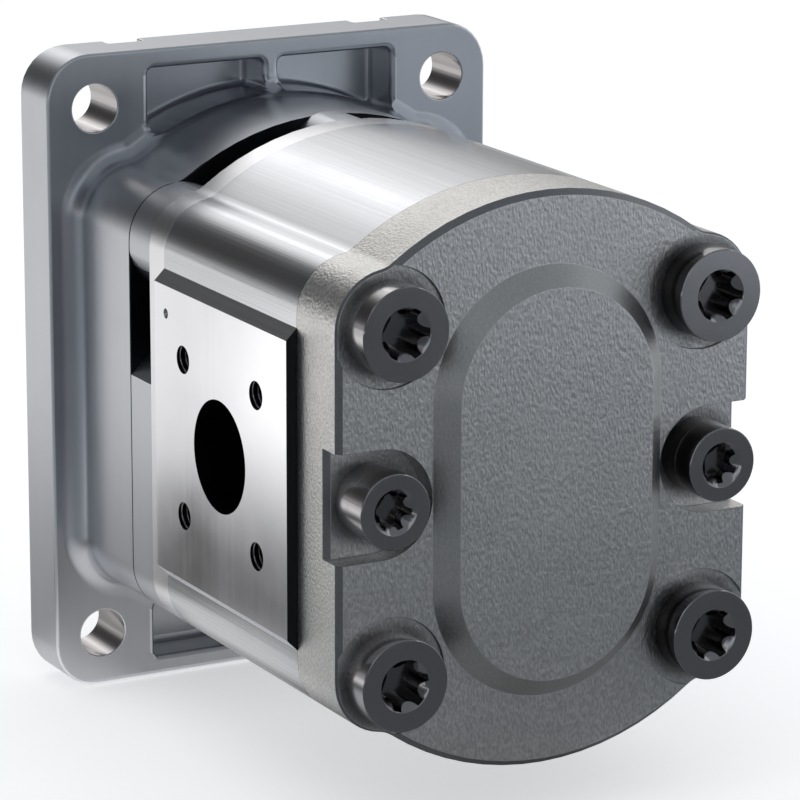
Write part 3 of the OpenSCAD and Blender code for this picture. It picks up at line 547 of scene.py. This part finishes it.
# %% Mounting flange
HOLE_X, HOLE_Z, NEAR_HOLE = 36 * MM, 50 * MM, 4.7 * MM
FLANGE_HOLES = [(sx * HOLE_X, MIDDLE_Z + sz * HOLE_Z) for sx in (-1, 1) for sz in (-1, 1)]
PLATE_REAR, POCKET_FLOOR = -12 * MM, -3 * MM
FINE_SHARE = 0.25


def at_pocket(place):
    in_pocket = abs(place.x) < 26 * MM and abs(place.z - MIDDLE_Z) > 35 * MM
    return in_pocket and FLOOR_Z + 2 * MM < place.z < FLANGE_TOP - 2 * MM


def flange_share(edge):
    middle = (edge.verts[0].co + edge.verts[1].co) / 2
    if not at_pocket(middle):
        return FINE_SHARE
    on_rim = min(abs(middle.y - PLATE_REAR), abs(middle.y - POCKET_FLOOR)) < 0.2 * MM
    return 1.0 if on_rim and edge.calc_face_angle(0) > 0.9 else 0.0


flange = bevelled(
    "flange_dressed", merged_copy("mounting_flange"), 1.1 * MM, segments=3, share=flange_share,
    clamp=False,
)
smooth_by_angle(flange)
# The pockets' edges get no painted highlight and no wear lightening.
for face in flange.data.polygons:
    if at_pocket(face.center):
        flange.data.attributes["rim"].data[face.index].value = 0.0


# %% The flange's finishes
def flange_finish(centre, normal):
    near_hole = any(math.hypot(centre.x - x, centre.z - z) < NEAR_HOLE for x, z in FLANGE_HOLES)
    if near_hole and abs(normal.y) < 0.4:
        return hole_bright
    # Painted shade: the hub's end faces back into the recess round the neck, so it is painted black.
    if centre.y < Y_HUB + 0.6 * MM and normal.y < -0.2:
        return deep_black
    return milled_face if centre.y > -0.2 * MM else flange_satin


finish_faces(flange, [flange_satin, hole_bright, milled_face, deep_black], flange_finish)
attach(flange, "housing")
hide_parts("mounting_flange")

# %% [markdown]
# ### The front cover
#
# Behind the hub sits a short cover. Its outside keeps the satin skin, and its rear rim is turned bright
# where it meets the housing. The recess round its neck is painted black as shade, and so are the faces
# that look along the pump, which is also a dark joint where the cover meets the hub. One cut round the
# cover lets a face belong to either side of that line.

# %% Front cover
front_bm = merged_copy("front_cover")
bmesh.ops.bisect_plane(
    front_bm, geom=front_bm.verts[:] + front_bm.edges[:] + front_bm.faces[:], dist=MICRON / 10,
    plane_co=(0, Y_NECK, 0), plane_no=(0, 1, 0),
)
front = bevelled("front_cover_dressed", front_bm, 0.25 * MM)
smooth_by_angle(front)


def on_outline(centre, normal):
    """Whether a face lies on the cover's outside, and not in the recess round the neck."""
    away = Vector((centre.x, 0, centre.z - MIDDLE_Z)).normalized()
    return abs(centre.x) > HALF_WIDTH - 0.4 * MM or normal.dot(away) > 0.5


def front_finish(centre, normal):
    if centre.y < Y_NECK - 0.1 * MM:
        return machined_rim
    # Painted shade: the recess round the neck is painted black; faces on the joint are black as a dark
    # joint.
    return deep_black if abs(normal.y) > 0.2 or not on_outline(centre, normal) else flange_satin


finish_faces(front, [flange_satin, machined_rim, deep_black], front_finish)
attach(front, "housing")
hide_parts("front_cover")

# %% [markdown]
# ### The gear housing
#
# The housing is cut from an extruded bar and brushed along its length. Its two port faces are machined
# flat and finer, so they mirror more sharply than the rest. The CAD part's screw holes have the
# thread's nominal size. A tapped hole looks smaller, because the thread's ridge stands in it, so the
# copy's holes are drawn in to the size that the tap's drill leaves.

# %% Gear housing
INLET_CIRCLE, OUTLET_CIRCLE = 40 * MM, 35 * MM
HOLE_RADIUS, TAP_RADIUS = 3.0 * MM, 2.5 * MM


def hole_offset(circle):
    """How far a port's screw holes lie from its middle, along Y and along Z."""
    return circle / 2 * math.cos(math.radians(45))


def hole_axis(place):
    """Where along Y and Z the nearest of a port's four screw holes lies."""
    half = hole_offset(INLET_CIRCLE if place.x < 0 else OUTLET_CIRCLE)
    hole_z = MIDDLE_Z + math.copysign(half, place.z - MIDDLE_Z)
    return Y_MIDDLE + math.copysign(half, place.y - Y_MIDDLE), hole_z


housing_bm = merged_copy("pump_body")
for vertex in housing_bm.verts:
    axis_y, axis_z = hole_axis(vertex.co)
    off = Vector((0, vertex.co.y - axis_y, vertex.co.z - axis_z))
    if abs(off.length - HOLE_RADIUS) < 0.15 * MM and abs(vertex.co.x) > 20 * MM:
        vertex.co += off * (TAP_RADIUS / HOLE_RADIUS - 1)
housing = bevelled("housing_dressed", housing_bm, 0.18 * MM)
smooth_by_angle(housing)

# %% The housing's finishes
NEAR_PORT, PORT_HALF = 24.5 * MM, 20 * MM


# Painted shade: the port bores are painted black. End faces at the joints are black as dark joints.
def housing_finish(centre, normal):
    if abs(centre.x) > PORT_X - 0.1 * MM:
        return port_polish
    from_port = math.hypot(centre.y - Y_MIDDLE, centre.z - MIDDLE_Z)
    sunk = abs(centre.x) < PORT_X - 0.3 * MM
    if from_port < NEAR_PORT and sunk and abs(centre.y - Y_MIDDLE) < PORT_HALF:
        return bore_black
    at_joint = min(centre.y - Y_REAR, Y_FRONT - centre.y) < 0.3 * MM
    return bore_black if at_joint and abs(normal.y) > 0.2 else brushed


finish_faces(housing, [brushed, port_polish, bore_black], housing_finish)
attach(housing, "housing")
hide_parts("pump_body")

# %% [markdown]
# ### The rear cover
#
# The cover is sand cast and then blasted, so its face has a grain like orange peel. Its chamfer, the
# slope of its raised middle and its notches are smoother.

# %% Rear cover
cover = bevelled("rear_cover_dressed", merged_copy("rear_cover"), 0.3 * MM)
smooth_by_angle(cover)


def cover_finish(centre, normal):
    if normal.y < -0.97:
        return cover_face
    if centre.y > Y_REAR - 0.3 * MM and normal.y > 0.2:
        return bore_black
    if abs(normal.y) < 0.35 and centre.y > Y_FACE + 0.8 * MM:
        return cover_wall
    return cover_smooth if centre.y < Y_FACE else cover_chamfer


finish_faces(cover, [cover_face, cover_wall, cover_smooth, bore_black, cover_chamfer], cover_finish)
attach(cover, "housing")
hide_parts("rear_cover")

# %% [markdown]
# ## Screws, by Geometry Nodes
#
# The four cover screws are one screw set at four places. A node tree takes the places as points, puts a
# copy of the screw on each, turned as far as that screw went when it came tight, makes the copies real
# and gives them their finish. The result becomes one plain mesh, which the exported part can carry.

# %% Tree: a piece at each point
def piece_at_points_tree():
    tree = bpy.data.node_groups.new("piece at points", "GeometryNodeTree")
    tree.interface.new_socket("Geometry", in_out="INPUT", socket_type="NodeSocketGeometry")
    tree.interface.new_socket("Piece", in_out="INPUT", socket_type="NodeSocketObject")
    tree.interface.new_socket("Size", in_out="INPUT", socket_type="NodeSocketFloat")
    tree.interface.new_socket("Finish", in_out="INPUT", socket_type="NodeSocketMaterial")
    tree.interface.new_socket("Geometry", in_out="OUTPUT", socket_type="NodeSocketGeometry")
    start, end = tree.nodes.new("NodeGroupInput"), tree.nodes.new("NodeGroupOutput")
    piece = put(tree, "GeometryNodeObjectInfo", Object=start.outputs["Piece"])
    turn = put(tree, "GeometryNodeInputNamedAttribute", Name="turn", settings={"data_type": "FLOAT"})
    about_y = put(tree, "ShaderNodeCombineXYZ", Y=turn.outputs[0])
    copies = put(
        tree, "GeometryNodeInstanceOnPoints", Points=start.outputs["Geometry"],
        Instance=piece.outputs["Geometry"], Rotation=about_y.outputs[0], Scale=start.outputs["Size"],
    )
    real = put(tree, "GeometryNodeRealizeInstances", copies.outputs[0])
    finished = put(tree, "GeometryNodeSetMaterial", real.outputs[0], Material=start.outputs["Finish"])
    tree.links.new(finished.outputs[0], end.inputs[0])
    return tree


at_points = piece_at_points_tree()
print("tree:", at_points.name)


# %% Helper: run a tree on points
def object_from_tree(name, tree, points, turns=None, **inputs):
    """Runs a tree on a mesh of loose points, and returns the result as a plain mesh object."""
    mesh = bpy.data.meshes.new(name + "_points")
    mesh.from_pydata([tuple(p) for p in points], [], [])
    turn = mesh.attributes.new("turn", "FLOAT", "POINT")
    for index, degrees in enumerate(turns or [0] * len(points)):
        turn.data[index].value = math.radians(degrees)
    carrier = bpy.data.objects.new(name + "_carrier", mesh)
    bpy.context.scene.collection.objects.link(carrier)
    modifier = carrier.modifiers.new("nodes", "NODES")
    modifier.node_group = tree
    sockets = {s.name: s.identifier for s in tree.interface.items_tree if s.in_out == "INPUT"}
    for label, value in inputs.items():
        modifier[sockets[label.replace("_", " ")]] = value
    carrier.update_tag()
    done = plain_mesh(carrier, name)
    bpy.data.objects.remove(carrier)
    piece = bpy.data.objects.new(name, done)
    bpy.context.scene.collection.objects.link(piece)
    print(f"{name}: {len(points)} places, {len(done.polygons)} faces")
    return piece


# %% [markdown]
# The screws are blackened steel. Their sockets, and the sides of the heads that face the pump's middle,
# get painted shade: these faces are marked in a face attribute that darkens their colour.

# %% Cover screws, centre screws and spacers
# How much painted shade the socket floor and walls get, and how fast it grows on inward-facing sides.
SOCKET_FLOOR_SHADE, SOCKET_WALL_SHADE, SOCKET_START = 0.55, 0.8, 1.5 * MM
SCREW_EDGE, SCREW_ANGLE, INWARD_SHADE_GAIN = 0.08 * MM, 35, 1.5


def centre_of(node_name):
    low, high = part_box(node_name)
    return Vector(((low.x + high.x) / 2, 0, (low.z + high.z) / 2))


def screw_set(name, nodes, turns, socket):
    """One screw, made once and set at each node's place. Faces inside the socket's radius get painted
    shade.
    """
    pattern_bm = merged_copy(nodes[0])
    bmesh.ops.translate(pattern_bm, verts=pattern_bm.verts, vec=-centre_of(nodes[0]))
    master = bevelled(name + "_master", pattern_bm, SCREW_EDGE, angle=SCREW_ANGLE)
    smooth_by_angle(master, SCREW_ANGLE)
    head_y = min(vertex.co.y for vertex in master.data.vertices)
    deep = master.data.attributes.new("deep", "FLOAT", "FACE").data
    for face in master.data.polygons:
        from_axis = math.hypot(face.center.x, face.center.z)
        if face.center.y > head_y + SOCKET_START and from_axis < socket:
            deep[face.index].value = SOCKET_FLOOR_SHADE if face.normal.y < -0.7 else SOCKET_WALL_SHADE
    piece = object_from_tree(
        name, at_points, [centre_of(n) for n in nodes], turns, Piece=master, Size=1.0,
        Finish=black_oxide,
    )
    bpy.data.objects.remove(master)
    # Painted shade on the sides of the heads that face the pump's middle.
    deep = piece.data.attributes["deep"].data
    for face in piece.data.polygons:
        inward = -face.normal.x * math.copysign(1, face.center.x)
        if abs(face.normal.y) < 0.5 and inward > 0.1:
            deep[face.index].value = max(deep[face.index].value, min(1.0, INWARD_SHADE_GAIN * inward))
    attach(piece, "housing")
    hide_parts(*nodes)


screw_set("cover_screws", [f"cover_screw_{i}" for i in (1, 2, 3, 4)], (0, 4, -12, 2), 5 * MM)
screw_set("centre_screws", ["centre_screw_left", "centre_screw_right"], (0, 19), 4 * MM)
screw_set("spacers", ["spacer_left", "spacer_right"], (0, 0), 0)

# %% [markdown]
# ## Threads, by Geometry Nodes
#
# A thread is a small triangle that follows a spiral. Blender has a spiral curve node, so the tree
# below sweeps a three-sided profile along it. The same tree makes the ridge inside the port's screw
# holes, and the one round the shaft's end.

# %% Tree: a thread at each point
def thread_tree():
    tree = bpy.data.node_groups.new("thread", "GeometryNodeTree")
    for label, kind in (
        ("Geometry", "NodeSocketGeometry"), ("Radius", "NodeSocketFloat"), ("Pitch", "NodeSocketFloat"),
        ("Turns", "NodeSocketFloat"), ("Ridge", "NodeSocketFloat"), ("Lean", "NodeSocketVector"),
        ("Finish", "NodeSocketMaterial"),
    ):
        tree.interface.new_socket(label, in_out="INPUT", socket_type=kind)
    tree.interface.new_socket("Geometry", in_out="OUTPUT", socket_type="NodeSocketGeometry")
    start, end = tree.nodes.new("NodeGroupInput"), tree.nodes.new("NodeGroupOutput")
    spiral = put(
        tree, "GeometryNodeCurveSpiral", Resolution=28, Rotations=start.outputs["Turns"],
        Start_Radius=start.outputs["Radius"], End_Radius=start.outputs["Radius"],
        Height=product(tree, start.outputs["Pitch"], start.outputs["Turns"]),
    )
    profile = put(tree, "GeometryNodeCurvePrimitiveCircle", Resolution=3, Radius=start.outputs["Ridge"])
    swept = put(
        tree, "GeometryNodeCurveToMesh", Curve=spiral.outputs[0], Profile_Curve=profile.outputs[0],
        Fill_Caps=True,
    )
    copies = put(
        tree, "GeometryNodeInstanceOnPoints", Points=start.outputs["Geometry"],
        Instance=swept.outputs[0], Rotation=start.outputs["Lean"],
    )
    real = put(tree, "GeometryNodeRealizeInstances", copies.outputs[0])
    finished = put(tree, "GeometryNodeSetMaterial", real.outputs[0], Material=start.outputs["Finish"])
    tree.links.new(finished.outputs[0], end.inputs[0])
    return tree


thread = thread_tree()
print("tree:", thread.name)

# %% Threads in the port screw holes
TAP_DEPTH, TAP_PITCH, TAP_TURNS, TAP_RIDGE = 12.5 * MM, 1 * MM, 12.0, 0.32 * MM


def port_threads(name, side, circle):
    half, signs = hole_offset(circle), (-1, 1)
    places = [
        (side * (PORT_X - TAP_DEPTH), Y_MIDDLE + a * half, MIDDLE_Z + b * half)
        for a in signs for b in signs
    ]
    piece = object_from_tree(
        name, thread, places, Radius=TAP_RADIUS, Pitch=TAP_PITCH, Turns=TAP_TURNS, Ridge=TAP_RIDGE,
        Lean=(0, side * math.pi / 2, 0), Finish=hole_bright,
    )
    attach(piece, "housing")


port_threads("inlet_threads", -1, INLET_CIRCLE)
port_threads("outlet_threads", 1, OUTLET_CIRCLE)

# %% [markdown]
# ## The shaft's end
#
# The photograph looks from behind, so it doesn't show the shaft's end, but the part is looked at from
# all sides. The shaft is copied with its thread turned down to the root, and the thread tree winds the
# ridge round it. The nut, the washer, the key and the seal get fine edges.

# %% Shaft and its thread
THREAD_START, THREAD_PITCH, THREAD_TURNS = 27 * MM, 1.5 * MM, 8.0
THREAD_ROOT, THREAD_MIDDLE, THREAD_LIMIT, THREAD_RIDGE = 5.3 * MM, 5.5 * MM, 6.3 * MM, 0.5 * MM
shaft_bm = merged_copy("drive_gear_shaft")
for vertex in shaft_bm.verts:
    radius = math.hypot(vertex.co.x, vertex.co.z)
    if vertex.co.y > THREAD_START - 0.1 * MM and THREAD_ROOT < radius < THREAD_LIMIT:
        vertex.co.x *= THREAD_ROOT / radius
        vertex.co.z *= THREAD_ROOT / radius


def dress(node_name, bm, width, finish, body):
    """Stands a bevelled copy in one finish in for a CAD node."""
    piece = bevelled(node_name + "_dressed", bm, width)
    smooth_by_angle(piece)
    finish_faces(piece, [finish], lambda centre, normal: finish)
    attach(piece, body)
    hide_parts(node_name)


dress("drive_gear_shaft", shaft_bm, 0.12 * MM, ground_steel, "drive")
shaft_thread = object_from_tree(
    "shaft_thread", thread, [(0, THREAD_START, 0)], Radius=THREAD_MIDDLE, Pitch=THREAD_PITCH,
    Turns=THREAD_TURNS, Ridge=THREAD_RIDGE, Lean=(-math.pi / 2, 0, 0), Finish=ground_steel,
)
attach(shaft_thread, "drive")

# %% Nut, washer, key and seal
for node_name, width, finish, body in (
    ("shaft_nut", 0.3, zinc_plate, "drive"), ("lock_washer", 0.15, zinc_plate, "drive"),
    ("shaft_key", 0.2, zinc_plate, "drive"), ("outer_shaft_seal", 0.3, seal_rubber, "housing"),
):
    dress(node_name, merged_copy(node_name), width * MM, finish, body)

# %% [markdown]
# ## The floor, the background and the light
#
# The pump stands in a pale studio. The floor and the world are white to the camera and in reflections,
# and the floor still takes the pump's shadow.

# %% World
AMBIENT = (0.62, 0.64, 0.67, 1)


def seen_rays(tree):
    """1 for rays from the camera, and for mirror and glass rays; 0 for the rest."""
    path = put(tree, "ShaderNodeLightPath")
    both = math_node(tree, "MAXIMUM", path.outputs["Is Camera Ray"], path.outputs["Is Glossy Ray"])
    return math_node(tree, "MAXIMUM", both, path.outputs["Is Transmission Ray"])


world = bpy.data.worlds.new("studio")
bpy.context.scene.world = world
world.use_nodes = True
tree = world.node_tree
shade = mix_colours(tree, seen_rays(tree), AMBIENT, WHITE)
tree.links.new(shade, tree.nodes["Background"].inputs["Color"])
tree.nodes["Background"].inputs["Strength"].default_value = 1.0
print("world:", world.name)

# %% Floor
FLOOR_SIZE, FLOOR_GLOW = 8, 0.45


def stage_plane(name, size, material, matrix):
    mesh = bpy.data.meshes.new(name)
    w, d = (length / 2 for length in size)
    mesh.from_pydata([(-w, -d, 0), (w, -d, 0), (w, d, 0), (-w, d, 0)], [], [(0, 1, 2, 3)])
    mesh.materials.append(material)
    plane = bpy.data.objects.new(name, mesh)
    plane.matrix_world = matrix
    bpy.context.scene.collection.objects.link(plane)
    plane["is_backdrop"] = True
    print(f"{name}: {size[0]} by {size[1]} m")
    return plane


pale = bpy.data.materials.new("pale_floor")
pale.use_nodes = True
tree = pale.node_tree
tree.nodes.remove(tree.nodes["Principled BSDF"])
matt = put(tree, "ShaderNodeBsdfDiffuse", Color=(0.86, 0.86, 0.86, 1))
glow = put(tree, "ShaderNodeEmission", Color=WHITE, Strength=product(tree, seen_rays(tree), FLOOR_GLOW))
both = put(tree, "ShaderNodeAddShader", matt.outputs[0], glow.outputs[0])
tree.links.new(both.outputs[0], tree.nodes["Material Output"].inputs["Surface"])
stage_plane("floor", (FLOOR_SIZE, FLOOR_SIZE), pale, Matrix.Translation((0, 0, FLOOR_Z - 0.2 * MM)))


# %% [markdown]
# ### What the metal mirrors
#
# Polished metal shows its surroundings, so the pump stands among six cards that only reflections see.
# Every surface that runs along the pump mirrors a ring of directions round the +Y axis. So one large
# card stands beyond the pump, and its brightness depends only on the angle about that axis: dark low on
# the left, white high up on the right, and grey at the far right. The card on the floor is for the
# faces that look back and down. Dimmer ones in front, on both sides and above stand for the room. Real
# lamps could do the same, but they would also light the floor, and a card can fade as it likes.

# %% Helpers: cards that only reflections see
COOL_TINT = (0.88, 0.97, 1.08, 1)


def card_object(name, size, material, matrix):
    card = stage_plane(name, size, material, matrix)
    for kind in ("camera", "diffuse", "transmission", "volume_scatter", "shadow"):
        setattr(card, "visible_" + kind, False)


def card_material(name):
    """A card material without a shader yet, and its Object coordinates split in three."""
    material = bpy.data.materials.new(name)
    material.use_nodes = True
    tree = material.node_tree
    tree.nodes.remove(tree.nodes["Principled BSDF"])
    return material, tree, put(tree, "ShaderNodeSeparateXYZ", object_place(tree))


def finish_card(tree, level, fade, colour=WHITE):
    """Glows by level, and is clear where fade is 0."""
    glow = put(tree, "ShaderNodeEmission", Color=colour, Strength=level)
    clear = put(tree, "ShaderNodeBsdfTransparent")
    mix = put(tree, "ShaderNodeMixShader", fade, clear.outputs[0], glow.outputs[0])
    tree.links.new(mix.outputs[0], tree.nodes["Material Output"].inputs["Surface"])


def soft_edges(tree, split, size, soft):
    """1 within a card of this size, and down to 0 over the last soft metres before its edges."""
    sides = []
    for axis, length in zip("XY", size):
        away = math_node(tree, "ABSOLUTE", split.outputs[axis])
        sides.append(ramp(tree, away, length / 2 - soft, length / 2, 1.0, 0.0))
    return product(tree, *sides)


def standing(place, turn=0):
    """Where a card stands upright, turned about Z by so many degrees."""
    about_z = Matrix.Rotation(math.radians(turn), 4, "Z")
    return Matrix.Translation(place) @ about_z @ Matrix.Rotation(math.radians(90), 4, "X")


# %% The far card
FAR_Y, FAR_SIZE, FAR_PEAK = 1.5, (4.0, 2.2), 1.2
FAR_LEVELS = [
    (0, 0.19), (6, 0.24), (14, 0.35), (24, 0.46), (34, 0.60), (44, 0.76), (54, 0.87), (64, 1.0),
    (78, 1.0), (87, 0.90), (94, 0.70), (99, 0.47), (108, 0.19), (118, 0.09), (130, 0.055),
    (150, 0.05), (160, 0.075), (168, 0.13), (180, 0.50),
]
far_material, tree, split = card_material("far_card")
above = math_node(tree, "ADD", split.outputs["Y"], FAR_SIZE[1] / 2 + FLOOR_Z - MIDDLE_Z)
angle = math_node(tree, "ARCTAN2", above, split.outputs["X"])
levels = put(tree, "ShaderNodeValToRGB", math_node(tree, "DIVIDE", angle, math.pi))
stops = levels.color_ramp.elements
while len(stops) < len(FAR_LEVELS):
    stops.new(0.5)
for stop, (degrees, level) in zip(stops, FAR_LEVELS):
    stop.position = degrees / 180
    stop.color = (level, level, level, 1)
finish_card(tree, product(tree, levels.outputs["Color"], FAR_PEAK), 1.0)
card_object("far_card", FAR_SIZE, far_material, standing((0, FAR_Y, FLOOR_Z + FAR_SIZE[1] / 2)))
print("far card levels:", len(FAR_LEVELS))

# %% [markdown]
# The card on the floor has zones, each made of soft steps along x, along y or along a slanting line.
# The zone in front of the cover has a cool tint. Beside the pump there is one near it and one further
# out, with a part for the flange, and the brighter of the two counts. The outer zone is dimmer on the
# right.

# %% The floor card: in front, and near the pump
FLOOR_CARD_SIZE = (3.2, 3.2)
floor_material, tree, split = card_material("floor_card")
x, y = split.outputs["X"], split.outputs["Y"]
away = math_node(tree, "ABSOLUTE", x)
front_level = math_node(
    tree, "MAXIMUM", ramp(tree, x, 0.205, 0.30, 0.115, 0.53), ramp(tree, y, -0.22, -0.06, 0.0, 0.26),
)
reach = math_node(tree, "ADD", y, product(tree, away, 3.0))
near_level = product(
    tree, ramp(tree, away, 0.010, 0.050, 0.3, 0.74), ramp(tree, away, 0.070, 0.095, 1.0, 0.15),
    ramp(tree, reach, -0.02, 0.10), ramp(tree, y, 0.0, 0.03, 1.0, 0.4),
)
print("floor card nodes so far:", len(tree.nodes))

# %% The floor card: further out
far_level = math_node(
    tree, "MAXIMUM", ramp(tree, away, 0.098, 0.172, 0.12, 1.22), ramp(tree, y, 0.08, 0.14, 0.05, 1.05),
)
along = math_node(tree, "SUBTRACT", y, product(tree, away, 1.85))
far_level = product(
    tree, far_level, ramp(tree, y, 0.20, 0.34, 1.0, 0.78), ramp(tree, along, -0.150, -0.124, 1.0, 0.62),
)
flange_level = product(
    tree, ramp(tree, along, -0.116, -0.100), ramp(tree, away, 0.05, 0.15, 0.38, 0.86),
)
far_level = math_node(tree, "MAXIMUM", far_level, flange_level)
print("floor card nodes so far:", len(tree.nodes))

# %% The floor card: its zones together
right_loss = ramp(tree, x, 0.0, 0.1, 1.0, 0.7)
side_level = math_node(tree, "MAXIMUM", near_level, product(tree, far_level, right_loss))
beside = ramp(tree, math_node(tree, "SUBTRACT", y, away), -0.20, -0.08)
front_part = product(tree, front_level, math_node(tree, "SUBTRACT", 1.0, beside))
side_part = product(tree, side_level, beside)
tinted = mix_colours(tree, beside, COOL_TINT, WHITE)
fade = soft_edges(tree, split, FLOOR_CARD_SIZE, 0.1)
finish_card(tree, math_node(tree, "ADD", front_part, side_part), fade, tinted)
card_object("floor_card", FLOOR_CARD_SIZE, floor_material, Matrix.Translation((0, 0, FLOOR_Z + 1 * MM)))

# %% The front card
FRONT_SIZE = (5.0, 1.6)
front_material, tree, split = card_material("front_card")
right_part = ramp(tree, split.outputs["X"], -0.2, 1.5, 0.10, 0.50)
left_part = ramp(tree, split.outputs["X"], -1.5, -0.5, 0.6, 0.0)
fade = soft_edges(tree, split, FRONT_SIZE, 0.2)
finish_card(tree, math_node(tree, "MAXIMUM", right_part, left_part), fade, COOL_TINT)
card_object("front_card", FRONT_SIZE, front_material, standing((0, -1.7, FLOOR_Z + FRONT_SIZE[1] / 2)))

# %% The left card
LEFT_SIZE = (3.4, 1.8)
left_material, tree, split = card_material("left_card")
level = ramp(tree, split.outputs["X"], 0.5, 1.6, 0.08, 0.45)
finish_card(tree, level, soft_edges(tree, split, LEFT_SIZE, 0.2), COOL_TINT)
card_object(
    "left_card", LEFT_SIZE, left_material, standing((-1.8, -0.2, FLOOR_Z + LEFT_SIZE[1] / 2), 90),
)

# %% The right card
RIGHT_SIZE, RIGHT_LEVEL = (3.0, 1.8), 0.45
right_material, tree, split = card_material("right_card")
finish_card(tree, RIGHT_LEVEL, soft_edges(tree, split, RIGHT_SIZE, 0.3), COOL_TINT)
card_object(
    "right_card", RIGHT_SIZE, right_material, standing((2.0, -0.6, FLOOR_Z + RIGHT_SIZE[1] / 2), -90),
)

# %% The roof card
ROOF_SIZE, ROOF_LEVEL, ROOF_PLACE = (4.4, 3.2), 0.22, (-0.3, -0.2, 1.6)
roof_material, tree, split = card_material("roof_card")
finish_card(tree, ROOF_LEVEL, soft_edges(tree, split, ROOF_SIZE, 0.2), COOL_TINT)
card_object("roof_card", ROOF_SIZE, roof_material, Matrix.Translation(ROOF_PLACE))

# %% [markdown]
# ### The lamps
#
# Two soft lamps light the pump and the floor. The top lamp is hidden from reflections, so the metal
# doesn't mirror it.

# %% Lamps
def soft_lamp(name, angle, cone, distance, along, across, watts):
    """A soft box at an angle about +Y and off it by cone; along is its size towards the axis."""
    a, c = math.radians(angle), math.radians(cone)
    out = Vector((math.cos(a) * math.sin(c), math.cos(c), math.sin(a) * math.sin(c)))
    side = Vector((math.cos(a) * math.cos(c), -math.sin(c), math.sin(a) * math.cos(c)))
    data = bpy.data.lights.new(name, "AREA")
    data.shape = "RECTANGLE"
    data.size, data.size_y = along, across
    data.energy = watts
    lamp = bpy.data.objects.new(name, data)
    turn = Matrix((side, out.cross(side), out)).transposed().to_4x4()
    lamp.matrix_world = Matrix.Translation(out * distance) @ turn
    bpy.context.scene.collection.objects.link(lamp)
    print(f"{name}: radiance {watts / (math.pi * along * across):.2f}")
    return lamp


soft_lamp("high_lamp", 70, 34, 1.35, 0.75, 0.09, 0.12)
soft_lamp("top_lamp", 110, 95, 1.6, 0.9, 0.9, 1.8).visible_glossy = False

# %% [markdown]
# ## Last checks
#
# The dressed model's growth over the CAD part is printed for each side of their boxes. The dressed
# model may not be larger than the CAD part.

# %% Sizes
visual_box = [list(corner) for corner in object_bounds()]
corners = zip(sum(cad_box, []), sum(visual_box, []))
print("growth in mm:", [round((abs(v) - abs(c)) / MM, 2) for c, v in corners])
